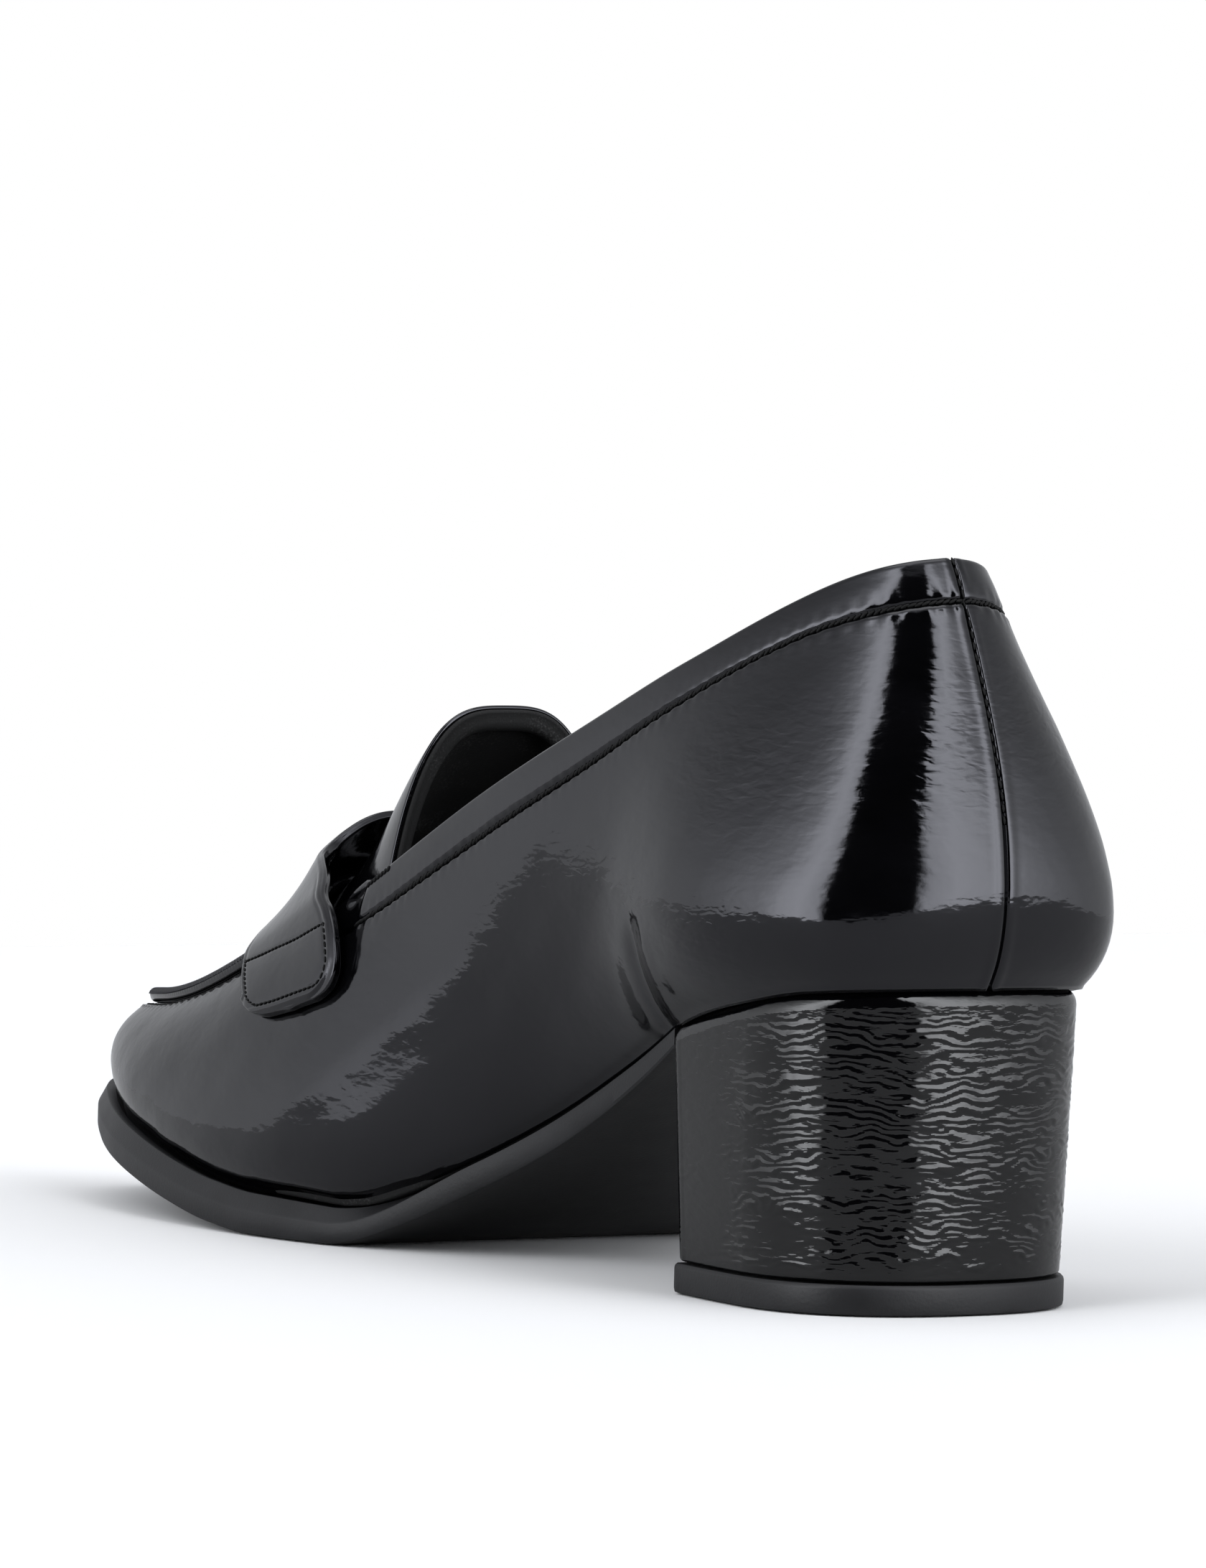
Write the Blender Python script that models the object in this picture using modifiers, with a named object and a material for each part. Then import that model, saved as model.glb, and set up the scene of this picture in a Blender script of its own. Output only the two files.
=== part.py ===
"""Loafer pump for a right foot: upper, tongue, saddle strap, insole, outsole, block heel and top piece.

Metres, +Z up. Inside the script a place is given as along (from the heel to the toe), out (towards the
inner, medial side of the foot) and height (above the floor). The toe points along -Y and the inner side
lies at +X. The finished shoe stands with the middle of its bounding box over the origin.
"""

from collections import namedtuple

import bmesh
import bpy
import numpy as np

# Overall sizes
LENGTH = 0.248  # back of the heel seat to the tip of the sole
BALL_WIDTH = 0.078  # widest place of the sole
HEEL_HEIGHT = 0.051  # floor to the seat, at the back
COLLAR_HEIGHT = 0.066  # seat to the top edge, at the back
TOE_SPRING = 0.0134  # lift of the sole under its tip
GAP = 0.0003  # clearance between touching pieces
SHARP_ANGLE = 35  # degrees between faces from which an edge is drawn sharp
SAMPLES_PER_RIB = 20  # places looked at when a rib number is searched
NEARBY = 0.02  # of a rib, the step over which a direction is taken

# Upper
WALL = 0.0018  # leather and lining together
BELLY = 0.010  # unit of the outward swell of the wall
LOWER_PULL = 0.22  # share of the wall's height over which the lower swell acts
UPPER_PULL = 0.34  # the same for the upper swell
APRON_STEER = 0.30  # share of the apron's width at which a flat arch is steered
APRON_PEAK = 0.55  # added to that share for each unit of crown, which makes the instep peaked
THROAT = 0.155  # where the apron's side corners lie
APRON_REAR = 0.172  # where the apron ends in the middle, under the strap
APRON_BOW = 0.5  # power of the rear edge's bow: 0.5 is an ellipse
RIBS_BEHIND_THROAT = 24
RIBS_AHEAD = 20
WALL_STEPS = 8
APRON_STEPS = 10

# Seam of the apron
SEAM_RADIUS = 0.0012
SEAM_POINTS = 44
SEAM_OUT = 0.55  # outward and upward parts of the direction in which the bead stands off the edge
SEAM_UP = 0.83

# Saddle strap
STRAP_THICKNESS = 0.0020
STRAP_REAR_MIDDLE = 0.1695
STRAP_REAR_TAB = 0.1375
STRAP_FRONT_MIDDLE = 0.1920
STRAP_FRONT_TAB = 0.1613
STRAP_GIRTH = 0.051  # half of its length over the foot
STRAP_TAB_WALL = 0.66  # share of the wall's height at which a tab ends
STRAP_ON_APRON = 0.66  # share of the girth that lies on the apron
STRAP_CORNER = 0.007
STRAP_SWEEP_START = 0.40  # share of the girth at which the rear edge starts to sweep back
STRAP_SWEEP = 0.48  # share of the girth over which it does so
STRAP_REAR_LIFT = 0.0019  # the rear edge stands off the tongue
STRAP_FLAT_POWER = 3  # the rear edge comes down to the upper only near its tabs
STRAP_EASE = 0.5  # 0 spaces the steps over the foot evenly, 1 crowds them at the tabs
STRAP_GIRTH_STEPS = 30
STRAP_LENGTH_STEPS = 8

# Tongue
TONGUE_THICKNESS = 0.0020
TONGUE_CLEARANCE = 0.0005  # between the tongue and the lining of the apron
TONGUE_TUCK = 0.008  # length that lies under the apron
TONGUE_SHARE = 0.88  # share of the apron's width that it fills there
TONGUE_EDGE_ALONG = 0.1415
TONGUE_EDGE_SWEEP = 0.0055  # its side corners lie this much further forward
TONGUE_EDGE_HALF = 0.0240
TONGUE_EDGE_LOW = 0.0585  # height of the side corners
TONGUE_EDGE_HIGH = 0.0889  # height of the middle
TONGUE_EDGE_POWER = 3.2  # squareness of the free edge's shoulders
TONGUE_SWEEP_POWER = 6  # the higher, the nearer to the corners the sweep stays
TONGUE_RISE = (0.74, 0.67)  # backward and upward parts of its direction at the free edge
TONGUE_SIDE_STEPS = 20
TONGUE_TUCK_STEPS = 3
TONGUE_LENGTH_STEPS = 8

# Outsole
SOLE_THICKNESS = 0.0072
SOLE_LEDGE = 0.0036  # how far it stands out around the toe
SOLE_BEVEL = 0.0010
SOLE_SIDE_SPLIT = 0.58  # share of the edge's height below its slanted band
SOLE_RIBS = 40

# Insole
INSOLE_THICKNESS = 0.0022
INSOLE_INSET = 0.0026
INSOLE_RIBS = 44

# Heel block and top piece
HEEL_BACK = 0.0024
HEEL_BREAST = 0.0504
HEEL_HALF_WIDTH = 0.0283
HEEL_BREAST_HALF = 0.0264
HEEL_ROUND_LENGTH = 0.0240
HEEL_ROUND_POWER = 2.36
HEEL_TAPER = 0.0012  # each side draws in by this much towards the floor
HEEL_LIP = 0.0014  # rounding of the cover over the block's edges
HEEL_WAIST = 0.3  # share of the drawing in that the sides have taken up halfway to the breast
HEEL_SHOULDER = ((0.0, 1.0), (0.35, 0.3), (1.0, 0.0))  # inset and depth of the upper rounding in lips
TOP_PIECE_THICKNESS = 0.0048
TOP_PIECE_PROUD = 0.0006
TOP_PIECE_BEVEL = 0.0003
HEEL_STEPS = 22

# Sections of the upper from the heel to the toe tip. along and top_along are shares of LENGTH, the
# sideways columns shares of BALL_WIDTH, lift a share of HEEL_HEIGHT, rise and crown shares of COLLAR_HEIGHT,
# and the swells are counted in BELLY. inner and outer are the feather line, top_inner and top_outer the top
# edge or apron seam, whose height is lift and rise together.
Rib = namedtuple(
    "Rib",
    "along inner outer top_along top_inner top_outer lift rise inner_swell outer_swell shoulder crown",
)
RIBS = (
    Rib(0.0060, 0.000, 0.000, 0.060, 0.000, 0.000, 1.000, 1.003, 0.95, 0.95, 1.19, 0.000),
    Rib(0.0165, 0.204, -0.204, 0.075, 0.115, -0.115, 0.990, 0.991, 1.20, 1.20, 1.10, 0.000),
    Rib(0.0460, 0.322, -0.322, 0.109, 0.190, -0.190, 0.965, 0.958, 1.34, 1.34, 0.95, 0.050),
    Rib(0.1028, 0.370, -0.370, 0.150, 0.262, -0.262, 0.920, 0.908, 1.50, 1.50, 0.80, 0.100),
    Rib(0.1530, 0.363, -0.370, 0.190, 0.308, -0.312, 0.860, 0.874, 1.46, 1.50, 0.65, 0.150),
    Rib(0.2060, 0.323, -0.350, 0.228, 0.333, -0.340, 0.790, 0.861, 1.24, 1.33, 0.50, 0.200),
    Rib(0.2620, 0.272, -0.340, 0.280, 0.349, -0.357, 0.690, 0.850, 1.05, 1.20, 0.35, 0.250),
    Rib(0.3230, 0.250, -0.340, 0.336, 0.358, -0.367, 0.575, 0.849, 0.95, 1.05, 0.27, 0.310),
    Rib(0.3830, 0.265, -0.360, 0.392, 0.361, -0.371, 0.450, 0.858, 0.90, 0.95, 0.22, 0.360),
    Rib(0.4440, 0.322, -0.397, 0.448, 0.358, -0.370, 0.320, 0.867, 0.80, 0.85, 0.25, 0.400),
    Rib(0.5040, 0.386, -0.440, 0.502, 0.354, -0.362, 0.200, 0.865, 0.75, 0.80, 0.38, 0.425),
    Rib(0.5650, 0.439, -0.474, 0.553, 0.348, -0.350, 0.100, 0.852, 0.70, 0.72, 0.60, 0.420),
    Rib(0.6250, 0.464, -0.486, 0.605, 0.341, -0.332, 0.035, 0.811, 0.60, 0.62, 0.80, 0.400),
    Rib(0.6820, 0.464, -0.476, 0.660, 0.333, -0.310, 0.000, 0.742, 0.50, 0.52, 0.90, 0.328),
    Rib(0.7440, 0.446, -0.440, 0.720, 0.318, -0.276, 0.000, 0.627, 0.40, 0.45, 0.95, 0.208),
    Rib(0.8140, 0.405, -0.375, 0.790, 0.286, -0.222, 0.000, 0.500, 0.34, 0.36, 0.97, 0.120),
    Rib(0.8760, 0.342, -0.290, 0.854, 0.244, -0.150, 0.000, 0.412, 0.30, 0.31, 0.97, 0.075),
    Rib(0.9330, 0.254, -0.155, 0.907, 0.192, -0.066, 0.000, 0.358, 0.26, 0.26, 0.95, 0.044),
    Rib(0.9700, 0.174, -0.040, 0.941, 0.141, 0.014, 0.000, 0.330, 0.25, 0.25, 0.95, 0.016),
    Rib(0.9855, 0.080, 0.080, 0.952, 0.082, 0.082, 0.000, 0.318, 0.25, 0.25, 0.95, 0.000),
)
LAST_RIB = len(RIBS) - 1

# Line of the seat and sole. along is a share of LENGTH, lift a share of HEEL_HEIGHT, spring a share of
# TOE_SPRING, thickness a share of SOLE_THICKNESS and ledge a share of SOLE_LEDGE. Behind the breast the
# lift is the top of the heel block, and the sole has no thickness.
SoleRow = namedtuple("SoleRow", "along lift spring thickness ledge")
SEAT = ((0.0, 1.000), (0.055, 0.977), (0.110, 0.930), (0.160, 0.879), (0.205, 0.822))
SOLE = (
    SoleRow(0.205, 0.757, 0.00, 0.46, 0.00),
    SoleRow(0.262, 0.640, 0.00, 0.56, 0.00),
    SoleRow(0.323, 0.494, 0.00, 0.68, 0.00),
    SoleRow(0.383, 0.345, 0.00, 0.72, 0.00),
    SoleRow(0.444, 0.198, 0.00, 0.72, 0.05),
    SoleRow(0.504, 0.066, 0.00, 0.74, 0.18),
    SoleRow(0.536, 0.014, 0.00, 0.80, 0.36),
    SoleRow(0.556, 0.000, 0.00, 0.86, 0.50),
    SoleRow(0.630, 0.000, 0.00, 0.97, 0.70),
    SoleRow(0.682, 0.000, 0.07, 1.00, 0.82),
    SoleRow(0.744, 0.000, 0.24, 1.00, 0.92),
    SoleRow(0.823, 0.000, 0.50, 1.00, 1.00),
    SoleRow(0.887, 0.000, 0.70, 0.98, 1.00),
    SoleRow(0.940, 0.000, 0.86, 0.95, 0.97),
    SoleRow(1.000, 0.000, 1.00, 0.92, 0.95),
)


def clear_scene():
    for item in list(bpy.data.objects):
        bpy.data.objects.remove(item, do_unlink=True)


def material(name, colour, roughness, coat=0.0):
    made = bpy.data.materials.new(name)
    made.use_nodes = True
    shader = made.node_tree.nodes["Principled BSDF"]
    shader.inputs["Base Color"].default_value = (*colour, 1.0)
    shader.inputs["Roughness"].default_value = roughness
    shader.inputs["Coat Weight"].default_value = coat
    made.diffuse_color = (*colour, 1.0)
    return made


def hermite(start, end, start_slope, end_slope, part):
    rise = part * part * (3 - 2 * part)
    return (
        start * (1 - rise)
        + end * rise
        + start_slope * part * (1 - part) ** 2
        - end_slope * part * part * (1 - part)
    )


def steady(table, place):
    """Value at place of a curve through (place, value) rows that never overshoots them."""
    at, value = np.array(table, float).T
    step = np.diff(at)
    secant = np.diff(value) / step
    slope = np.zeros(len(at))
    for i in range(1, len(at) - 1):
        if secant[i - 1] * secant[i] > 0:
            before = 2 * step[i] + step[i - 1]
            after = step[i] + 2 * step[i - 1]
            slope[i] = (before + after) / (before / secant[i - 1] + after / secant[i])
    slope[0], slope[-1] = secant[0], secant[-1]
    place = np.clip(np.asarray(place, float), at[0], at[-1])
    i = np.clip(np.searchsorted(at, place, side="right") - 1, 0, len(step) - 1)
    part = (place - at[i]) / step[i]
    return hermite(value[i], value[i + 1], slope[i] * step[i], slope[i + 1] * step[i], part)


def bezier(a, b, c, d, part):
    return a * (1 - part) ** 3 + b * 3 * part * (1 - part) ** 2 + c * 3 * part**2 * (1 - part) + d * part**3


def loop_columns():
    """Knots of the closed loop of ribs: up the inner side to the toe tip and back down the outer side."""
    inner = []
    outer = []
    for rib in RIBS:
        plan = [rib.along * LENGTH, rib.top_along * LENGTH]
        height = rib.lift * HEEL_HEIGHT + rib.rise * COLLAR_HEIGHT
        shape = [height, rib.shoulder * BELLY, rib.crown * COLLAR_HEIGHT]
        inside = [rib.inner * BALL_WIDTH, rib.top_inner * BALL_WIDTH, rib.inner_swell * BELLY]
        outside = [rib.outer * BALL_WIDTH, rib.top_outer * BALL_WIDTH, rib.outer_swell * BELLY]
        inner.append(plan + inside + shape)
        outer.append(plan + outside + shape)
    return np.array(inner + outer[-2:0:-1])


Place = namedtuple("Place", "along top_along out top_out swell height shoulder crown")
KNOTS = loop_columns()
COUNT = len(KNOTS)


def knot_slopes():
    """Slopes that make the closed curve through the knots smooth to its second derivative."""
    one = np.eye(COUNT)
    matrix = 4 * one + np.roll(one, 1, axis=1) + np.roll(one, -1, axis=1)
    return np.linalg.solve(matrix, 3 * (np.roll(KNOTS, -1, axis=0) - np.roll(KNOTS, 1, axis=0)))


SLOPES = knot_slopes()


def loop_at(turn):
    """Every column at a place on the loop, which is counted in ribs."""
    i = int(np.floor(turn)) % COUNT
    j = (i + 1) % COUNT
    values = hermite(KNOTS[i], KNOTS[j], SLOPES[i], SLOPES[j], turn - np.floor(turn))
    return Place(*values)


def rib_samples():
    ribs = np.linspace(0, LAST_RIB, SAMPLES_PER_RIB * LAST_RIB + 1)
    places = [loop_at(rib) for rib in ribs]
    return {
        "rib": ribs,
        "along": [place.along for place in places],
        "top_along": [place.top_along for place in places],
    }


RIB_SAMPLES = rib_samples()


def turn_of(rib, side):
    """Place on the loop of a rib number: side is 1 for the inner side and -1 for the outer."""
    return rib if side > 0 else (COUNT - rib) % COUNT


def sole_column(name, along):
    column = SoleRow._fields.index(name)
    return steady([(row[0] * LENGTH, row[column]) for row in SOLE], along)


def sole_thickness(along):
    return sole_column("thickness", along) * SOLE_THICKNESS


def sole_bottom(along):
    return sole_column("lift", along) * HEEL_HEIGHT + sole_column("spring", along) * TOE_SPRING


def seat_height(along):
    """Top of the heel block behind the breast and of the sole ahead of it."""
    breast = SOLE[0].along * LENGTH
    ahead = sole_bottom(along) + sole_thickness(along)
    behind = steady([(a * LENGTH, h * HEEL_HEIGHT) for a, h in SEAT], along)
    step = sole_bottom(breast) + sole_thickness(breast) - SEAT[-1][1] * HEEL_HEIGHT
    behind = behind + step * (np.clip(along, 0, breast) / breast) ** 2
    return np.where(along < breast, behind, ahead)


def feather(turn):
    """Point where the wall meets the sole, and the level direction out of the shoe there."""
    here, before, after = loop_at(turn), loop_at(turn - NEARBY), loop_at(turn + NEARBY)
    forward = np.array([after.along - before.along, after.out - before.out])
    forward = forward / np.linalg.norm(forward)
    point = np.array([here.along, here.out, float(seat_height(here.along)) + GAP])
    return point, np.array([-forward[1], forward[0], 0.0])


def top_edge(turn):
    """Point of the top edge behind the throat and of the apron seam ahead of it."""
    here = loop_at(turn)
    spring = float(sole_column("spring", here.along)) * TOE_SPRING
    return np.array([here.top_along, here.top_out, here.height + spring])


def wall(turn, part):
    """Outside of the upper's wall: part runs from 0 at the feather line to 1 at the top edge."""
    here = loop_at(turn)
    low, outward = feather(turn)
    high = top_edge(turn)
    rise = np.array([0.0, 0.0, high[2] - low[2]])
    steer_low = low + outward * here.swell + rise * LOWER_PULL
    steer_high = high + outward * here.shoulder - rise * UPPER_PULL
    return bezier(low, steer_low, steer_high, high, part)


def apron(rib, across):
    """Outside of the apron: across runs from 1 at the inner seam to -1 at the outer one."""
    inner, outer = top_edge(turn_of(rib, 1)), top_edge(turn_of(rib, -1))
    crown = loop_at(rib).crown
    lift = np.array([0.0, 0.0, crown * 4 / 3])
    reach = (outer - inner) * (APRON_STEER + APRON_PEAK * crown / COLLAR_HEIGHT)
    return bezier(inner, inner + reach + lift, outer - reach + lift, outer, (1 - across) / 2)


def rib_at(column, along):
    """Rib number at which a column, along or top_along, reaches a place along the shoe."""
    return float(np.interp(along, RIB_SAMPLES[column], RIB_SAMPLES["rib"]))


def grid_normals(grid):
    """Unit normals of a grid of points, rows by columns."""
    down = np.gradient(grid, axis=0)
    right = np.gradient(grid, axis=1)
    normal = np.cross(down, right)
    return normal / np.maximum(np.linalg.norm(normal, axis=2, keepdims=True), 1e-12)


def world(point):
    along, out, height = point
    return (out, -along, height)


def new_object(name, mesh, look, home):
    item = bpy.data.objects.new(name, mesh)
    item.data.materials.append(look)
    home.objects.link(item)
    return item


def sheet_object(name, points, faces, look, home, thickness, offset):
    """Open sheet of faces that Solidify turns into a wall."""
    mesh = bpy.data.meshes.new(name)
    mesh.from_pydata([world(point) for point in points], [], faces)
    shape = bmesh.new()
    shape.from_mesh(mesh)
    bmesh.ops.remove_doubles(shape, verts=shape.verts, dist=1e-6)
    shape.to_mesh(mesh)
    shape.free()
    mesh.shade_smooth()
    item = new_object(name, mesh, look, home)
    shell = item.modifiers.new("Wall", "SOLIDIFY")
    shell.thickness = thickness
    shell.offset = offset
    shell.use_even_offset = True
    shell.use_quality_normals = True
    return item


def grid_faces(rows, columns, start=0, flip=False):
    faces = []
    for r in range(rows - 1):
        for c in range(columns - 1):
            a = start + r * columns + c
            face = (a, a + columns, a + columns + 1, a + 1)
            faces.append(face[::-1] if flip else face)
    return faces


def rings_object(name, rings, look, home):
    """Closed solid through rings of equal count, from the lowest to the highest, capped at both ends."""
    shape = bmesh.new()
    made = [[shape.verts.new(world(point)) for point in ring] for ring in rings]
    count = len(rings[0])
    for lower, upper in zip(made, made[1:]):
        for i in range(count):
            j = (i + 1) % count
            shape.faces.new((lower[i], lower[j], upper[j], upper[i]))
    for ring in (made[0], made[-1]):
        for i in range(count // 2 - 1):
            shape.faces.new((ring[i], ring[i + 1], ring[count - 2 - i], ring[count - 1 - i]))
    bmesh.ops.remove_doubles(shape, verts=shape.verts, dist=1e-6)
    bmesh.ops.dissolve_degenerate(shape, dist=1e-6, edges=shape.edges)
    bmesh.ops.recalc_face_normals(shape, faces=shape.faces)
    mesh = bpy.data.meshes.new(name)
    shape.to_mesh(mesh)
    shape.free()
    mesh.shade_smooth()
    mesh.set_sharp_from_angle(angle=np.radians(SHARP_ANGLE))
    return new_object(name, mesh, look, home)


def upper_ribs():
    """Rib numbers from the heel to the tip: some behind the apron's corners, the others beside it."""
    corner = rib_at("top_along", THROAT)
    behind = np.linspace(0, corner, RIBS_BEHIND_THROAT + 1)
    return np.concatenate([behind, np.linspace(corner, LAST_RIB, RIBS_AHEAD + 1)[1:]])


def apron_rear(across):
    """Rib number of the apron's rear edge, which bows forward in the middle."""
    return rib_at("top_along", THROAT + (APRON_REAR - THROAT) * (1 - across**2) ** APRON_BOW)


def make_upper(look, home):
    ribs = upper_ribs()
    turns = list(ribs) + [turn_of(rib, -1) for rib in ribs[-2:0:-1]]
    points = [wall(turn, part) for turn in turns for part in np.linspace(0, 1, WALL_STEPS + 1)]
    columns = WALL_STEPS + 1
    faces = []
    for r in range(len(turns)):
        after = (r + 1) % len(turns)
        for c in range(WALL_STEPS):
            a, b = r * columns + c, after * columns + c
            faces.append((a, a + 1, b + 1, b))
    start = len(points)
    spread = np.linspace(1, -1, APRON_STEPS + 1)
    for step in np.linspace(0, 1, RIBS_AHEAD + 1):
        for across in spread:
            rear = apron_rear(across)
            points.append(apron(rear + (LAST_RIB - rear) * step, across))
    faces += grid_faces(RIBS_AHEAD + 1, APRON_STEPS + 1, start, flip=True)
    return sheet_object("upper", points, faces, look, home, WALL, -1.0)


def strap_edges(girth):
    """Rear and front edge of the strap at a place over the foot: 0 in the middle, 1 at a tab's end."""
    part = np.clip((abs(girth) - STRAP_SWEEP_START) / STRAP_SWEEP, 0, 1)
    drop = part * part * (3 - 2 * part)
    rear = STRAP_REAR_MIDDLE + (STRAP_REAR_TAB - STRAP_REAR_MIDDLE) * drop
    front = STRAP_FRONT_MIDDLE + (STRAP_FRONT_TAB - STRAP_FRONT_MIDDLE) * girth**2
    left = (1 - abs(girth)) * STRAP_GIRTH
    if left < STRAP_CORNER:
        turn = STRAP_CORNER - (STRAP_CORNER**2 - (STRAP_CORNER - left) ** 2) ** 0.5
        rear, front = rear + turn, front - turn
    return rear, front


def on_upper(rib, girth):
    """Outside of the upper under the strap, over the apron and down both walls."""
    if abs(girth) <= STRAP_ON_APRON:
        return apron(rib, girth / STRAP_ON_APRON)
    down = (abs(girth) - STRAP_ON_APRON) / (1 - STRAP_ON_APRON)
    return wall(turn_of(rib, np.sign(girth)), 1 - down * (1 - STRAP_TAB_WALL))


def strap_grid(girth_steps, length_steps):
    even = np.linspace(1, -1, girth_steps + 1)
    girths = STRAP_EASE * np.sin(even * np.pi / 2) + (1 - STRAP_EASE) * even
    rows = []
    for girth in girths:
        rear, front = strap_edges(girth)
        places = np.linspace(rear, front, length_steps + 1)
        rows.append([on_upper(rib_at("top_along", along), girth) for along in places])
    grid = np.array(rows)
    normal = grid_normals(grid)
    normal *= np.sign(normal[len(grid) // 2, 0, 2])
    part = np.linspace(0, 1, length_steps + 1)[None, :]
    stand = STRAP_REAR_LIFT * (1 - part) ** 2 * (1 - np.abs(girths[:, None]) ** STRAP_FLAT_POWER)
    return grid + normal * (GAP + stand)[..., None]


def make_strap(look, home):
    grid = strap_grid(STRAP_GIRTH_STEPS, STRAP_LENGTH_STEPS)
    faces = grid_faces(*grid.shape[:2])
    return sheet_object("saddle_strap", grid.reshape(-1, 3), faces, look, home, STRAP_THICKNESS, 1.0)


def tongue_edge(across):
    """Free edge of the tongue, an arch with square shoulders."""
    height = TONGUE_EDGE_LOW + (TONGUE_EDGE_HIGH - TONGUE_EDGE_LOW) * (1 - abs(across) ** TONGUE_EDGE_POWER)
    along = TONGUE_EDGE_ALONG + TONGUE_EDGE_SWEEP * abs(across) ** TONGUE_SWEEP_POWER
    return np.array([along, TONGUE_EDGE_HALF * across, height])


def under_apron(rib, across):
    """Point on the tongue's outside below the apron, and the direction backwards along it."""
    steps = (-NEARBY, 0.0, NEARBY)
    near = np.array([[apron(rib + ahead, across - aside) for aside in steps] for ahead in steps])
    normal = grid_normals(near)[1, 1]
    normal *= np.sign(normal[2])
    back = near[0, 1] - near[2, 1]
    return near[1, 1] - normal * (WALL + TONGUE_CLEARANCE), back / np.linalg.norm(back)


def tongue_grid(side_steps, tuck_steps, length_steps):
    """Underlay of the apron's own arch that runs on to the free edge."""
    rows = []
    for across in np.sin(np.linspace(np.pi / 2, -np.pi / 2, side_steps + 1)):
        share = across * TONGUE_SHARE
        rear = apron_rear(share)
        ahead = rib_at("top_along", loop_at(rear).top_along + TONGUE_TUCK)
        row = [under_apron(rib, share)[0] for rib in np.linspace(ahead, rear, tuck_steps + 1)[:-1]]
        start, back = under_apron(rear, share)
        end = tongue_edge(across)
        reach = np.linalg.norm(end - start) / 3
        arrive = np.array([-TONGUE_RISE[0], 0.0, TONGUE_RISE[1]])
        row += [
            bezier(start, start + back * reach, end - arrive * reach, end, part)
            for part in np.linspace(0, 1, length_steps + 1)
        ]
        rows.append(row)
    return np.array(rows)


def make_tongue(look, home):
    grid = tongue_grid(TONGUE_SIDE_STEPS, TONGUE_TUCK_STEPS, TONGUE_LENGTH_STEPS)
    faces = grid_faces(*grid.shape[:2], flip=True)
    return sheet_object("tongue", grid.reshape(-1, 3), faces, look, home, TONGUE_THICKNESS, -1.0)


def make_seam(look, home):
    """Raised bead along the apron seam, from one side of the strap round the toe to the other."""
    rib = rib_at("top_along", strap_edges(STRAP_ON_APRON)[1] + 2 * SEAM_RADIUS)
    turns = np.linspace(rib, COUNT - rib, SEAM_POINTS)
    curve = bpy.data.curves.new("apron_seam", "CURVE")
    curve.dimensions = "3D"
    curve.bevel_depth = SEAM_RADIUS
    curve.bevel_resolution = 2
    curve.use_fill_caps = True
    line = curve.splines.new("POLY")
    line.points.add(SEAM_POINTS - 1)
    for knot, turn in zip(line.points, turns):
        edge = top_edge(turn)
        outward = feather(turn)[1]
        lift = outward * SEAM_OUT + np.array([0.0, 0.0, SEAM_UP])
        knot.co = (*world(edge + lift * (SEAM_RADIUS + GAP)), 1.0)
    return new_object("apron_seam", curve, look, home)


def plan_ring(ribs, inset, height):
    """Ring of the feather outline moved inwards by inset(along), with height(along)."""
    turns = [turn_of(rib, 1) for rib in ribs] + [turn_of(rib, -1) for rib in ribs[::-1]]
    ring = []
    for turn in turns:
        point, outward = feather(turn)
        moved = point - outward * inset(point[0])
        ring.append((moved[0], moved[1], height(moved[0])))
    return ring


def make_outsole(look, home):
    start = SOLE[0].along * LENGTH
    ribs = np.linspace(rib_at("along", start), LAST_RIB, SOLE_RIBS)

    def ledge(along):
        return -float(sole_column("ledge", along)) * SOLE_LEDGE

    def ring(inset, share):
        def height(along):
            return float(sole_bottom(along) + sole_thickness(along) * share)

        return plan_ring(ribs, lambda along: ledge(along) + inset, height)

    bevel_share = SOLE_BEVEL / SOLE_THICKNESS
    rings = [ring(SOLE_BEVEL, 0), ring(0, bevel_share), ring(0, SOLE_SIDE_SPLIT), ring(SOLE_BEVEL, 1)]
    return rings_object("outsole", rings, look, home)


def make_insole(look, home):
    ribs = np.linspace(0, LAST_RIB, INSOLE_RIBS)
    rings = [
        plan_ring(ribs, lambda along: INSOLE_INSET, lambda along: float(seat_height(along)) + GAP + lift)
        for lift in (0.0, INSOLE_THICKNESS)
    ]
    return rings_object("insole", rings, look, home)


def heel_ring(inset, height):
    """D outline of the heel: round at the back, drawn in a little towards a flat breast."""
    angles = np.linspace(0, np.pi / 2, HEEL_STEPS)
    power = 2 / HEEL_ROUND_POWER
    half = HEEL_HALF_WIDTH - inset
    back = HEEL_BACK + inset
    breast = HEEL_BREAST - inset
    side = [(back + HEEL_ROUND_LENGTH * (1 - np.cos(a) ** power), half * np.sin(a) ** power) for a in angles]
    narrow = HEEL_BREAST_HALF - inset
    side.append(((back + HEEL_ROUND_LENGTH + breast) / 2, half + (narrow - half) * HEEL_WAIST))
    side.append((breast - 2 * HEEL_LIP, narrow))
    side.append((breast, narrow - HEEL_LIP))
    outline = side + [(along, -out) for along, out in side[::-1]]
    return [(along, out, float(height(along))) for along, out in outline]


def make_heel(look, home):
    foot = TOP_PIECE_THICKNESS + GAP
    rings = [
        heel_ring(HEEL_TAPER + HEEL_LIP / 2, lambda along: foot),
        heel_ring(HEEL_TAPER, lambda along: foot + HEEL_LIP / 2),
    ]
    for inset, depth in HEEL_SHOULDER:

        def below_seat(along):
            return seat_height(along) - depth * HEEL_LIP

        rings.append(heel_ring(inset * HEEL_LIP, below_seat))
    return rings_object("heel_block", rings, look, home)


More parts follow.
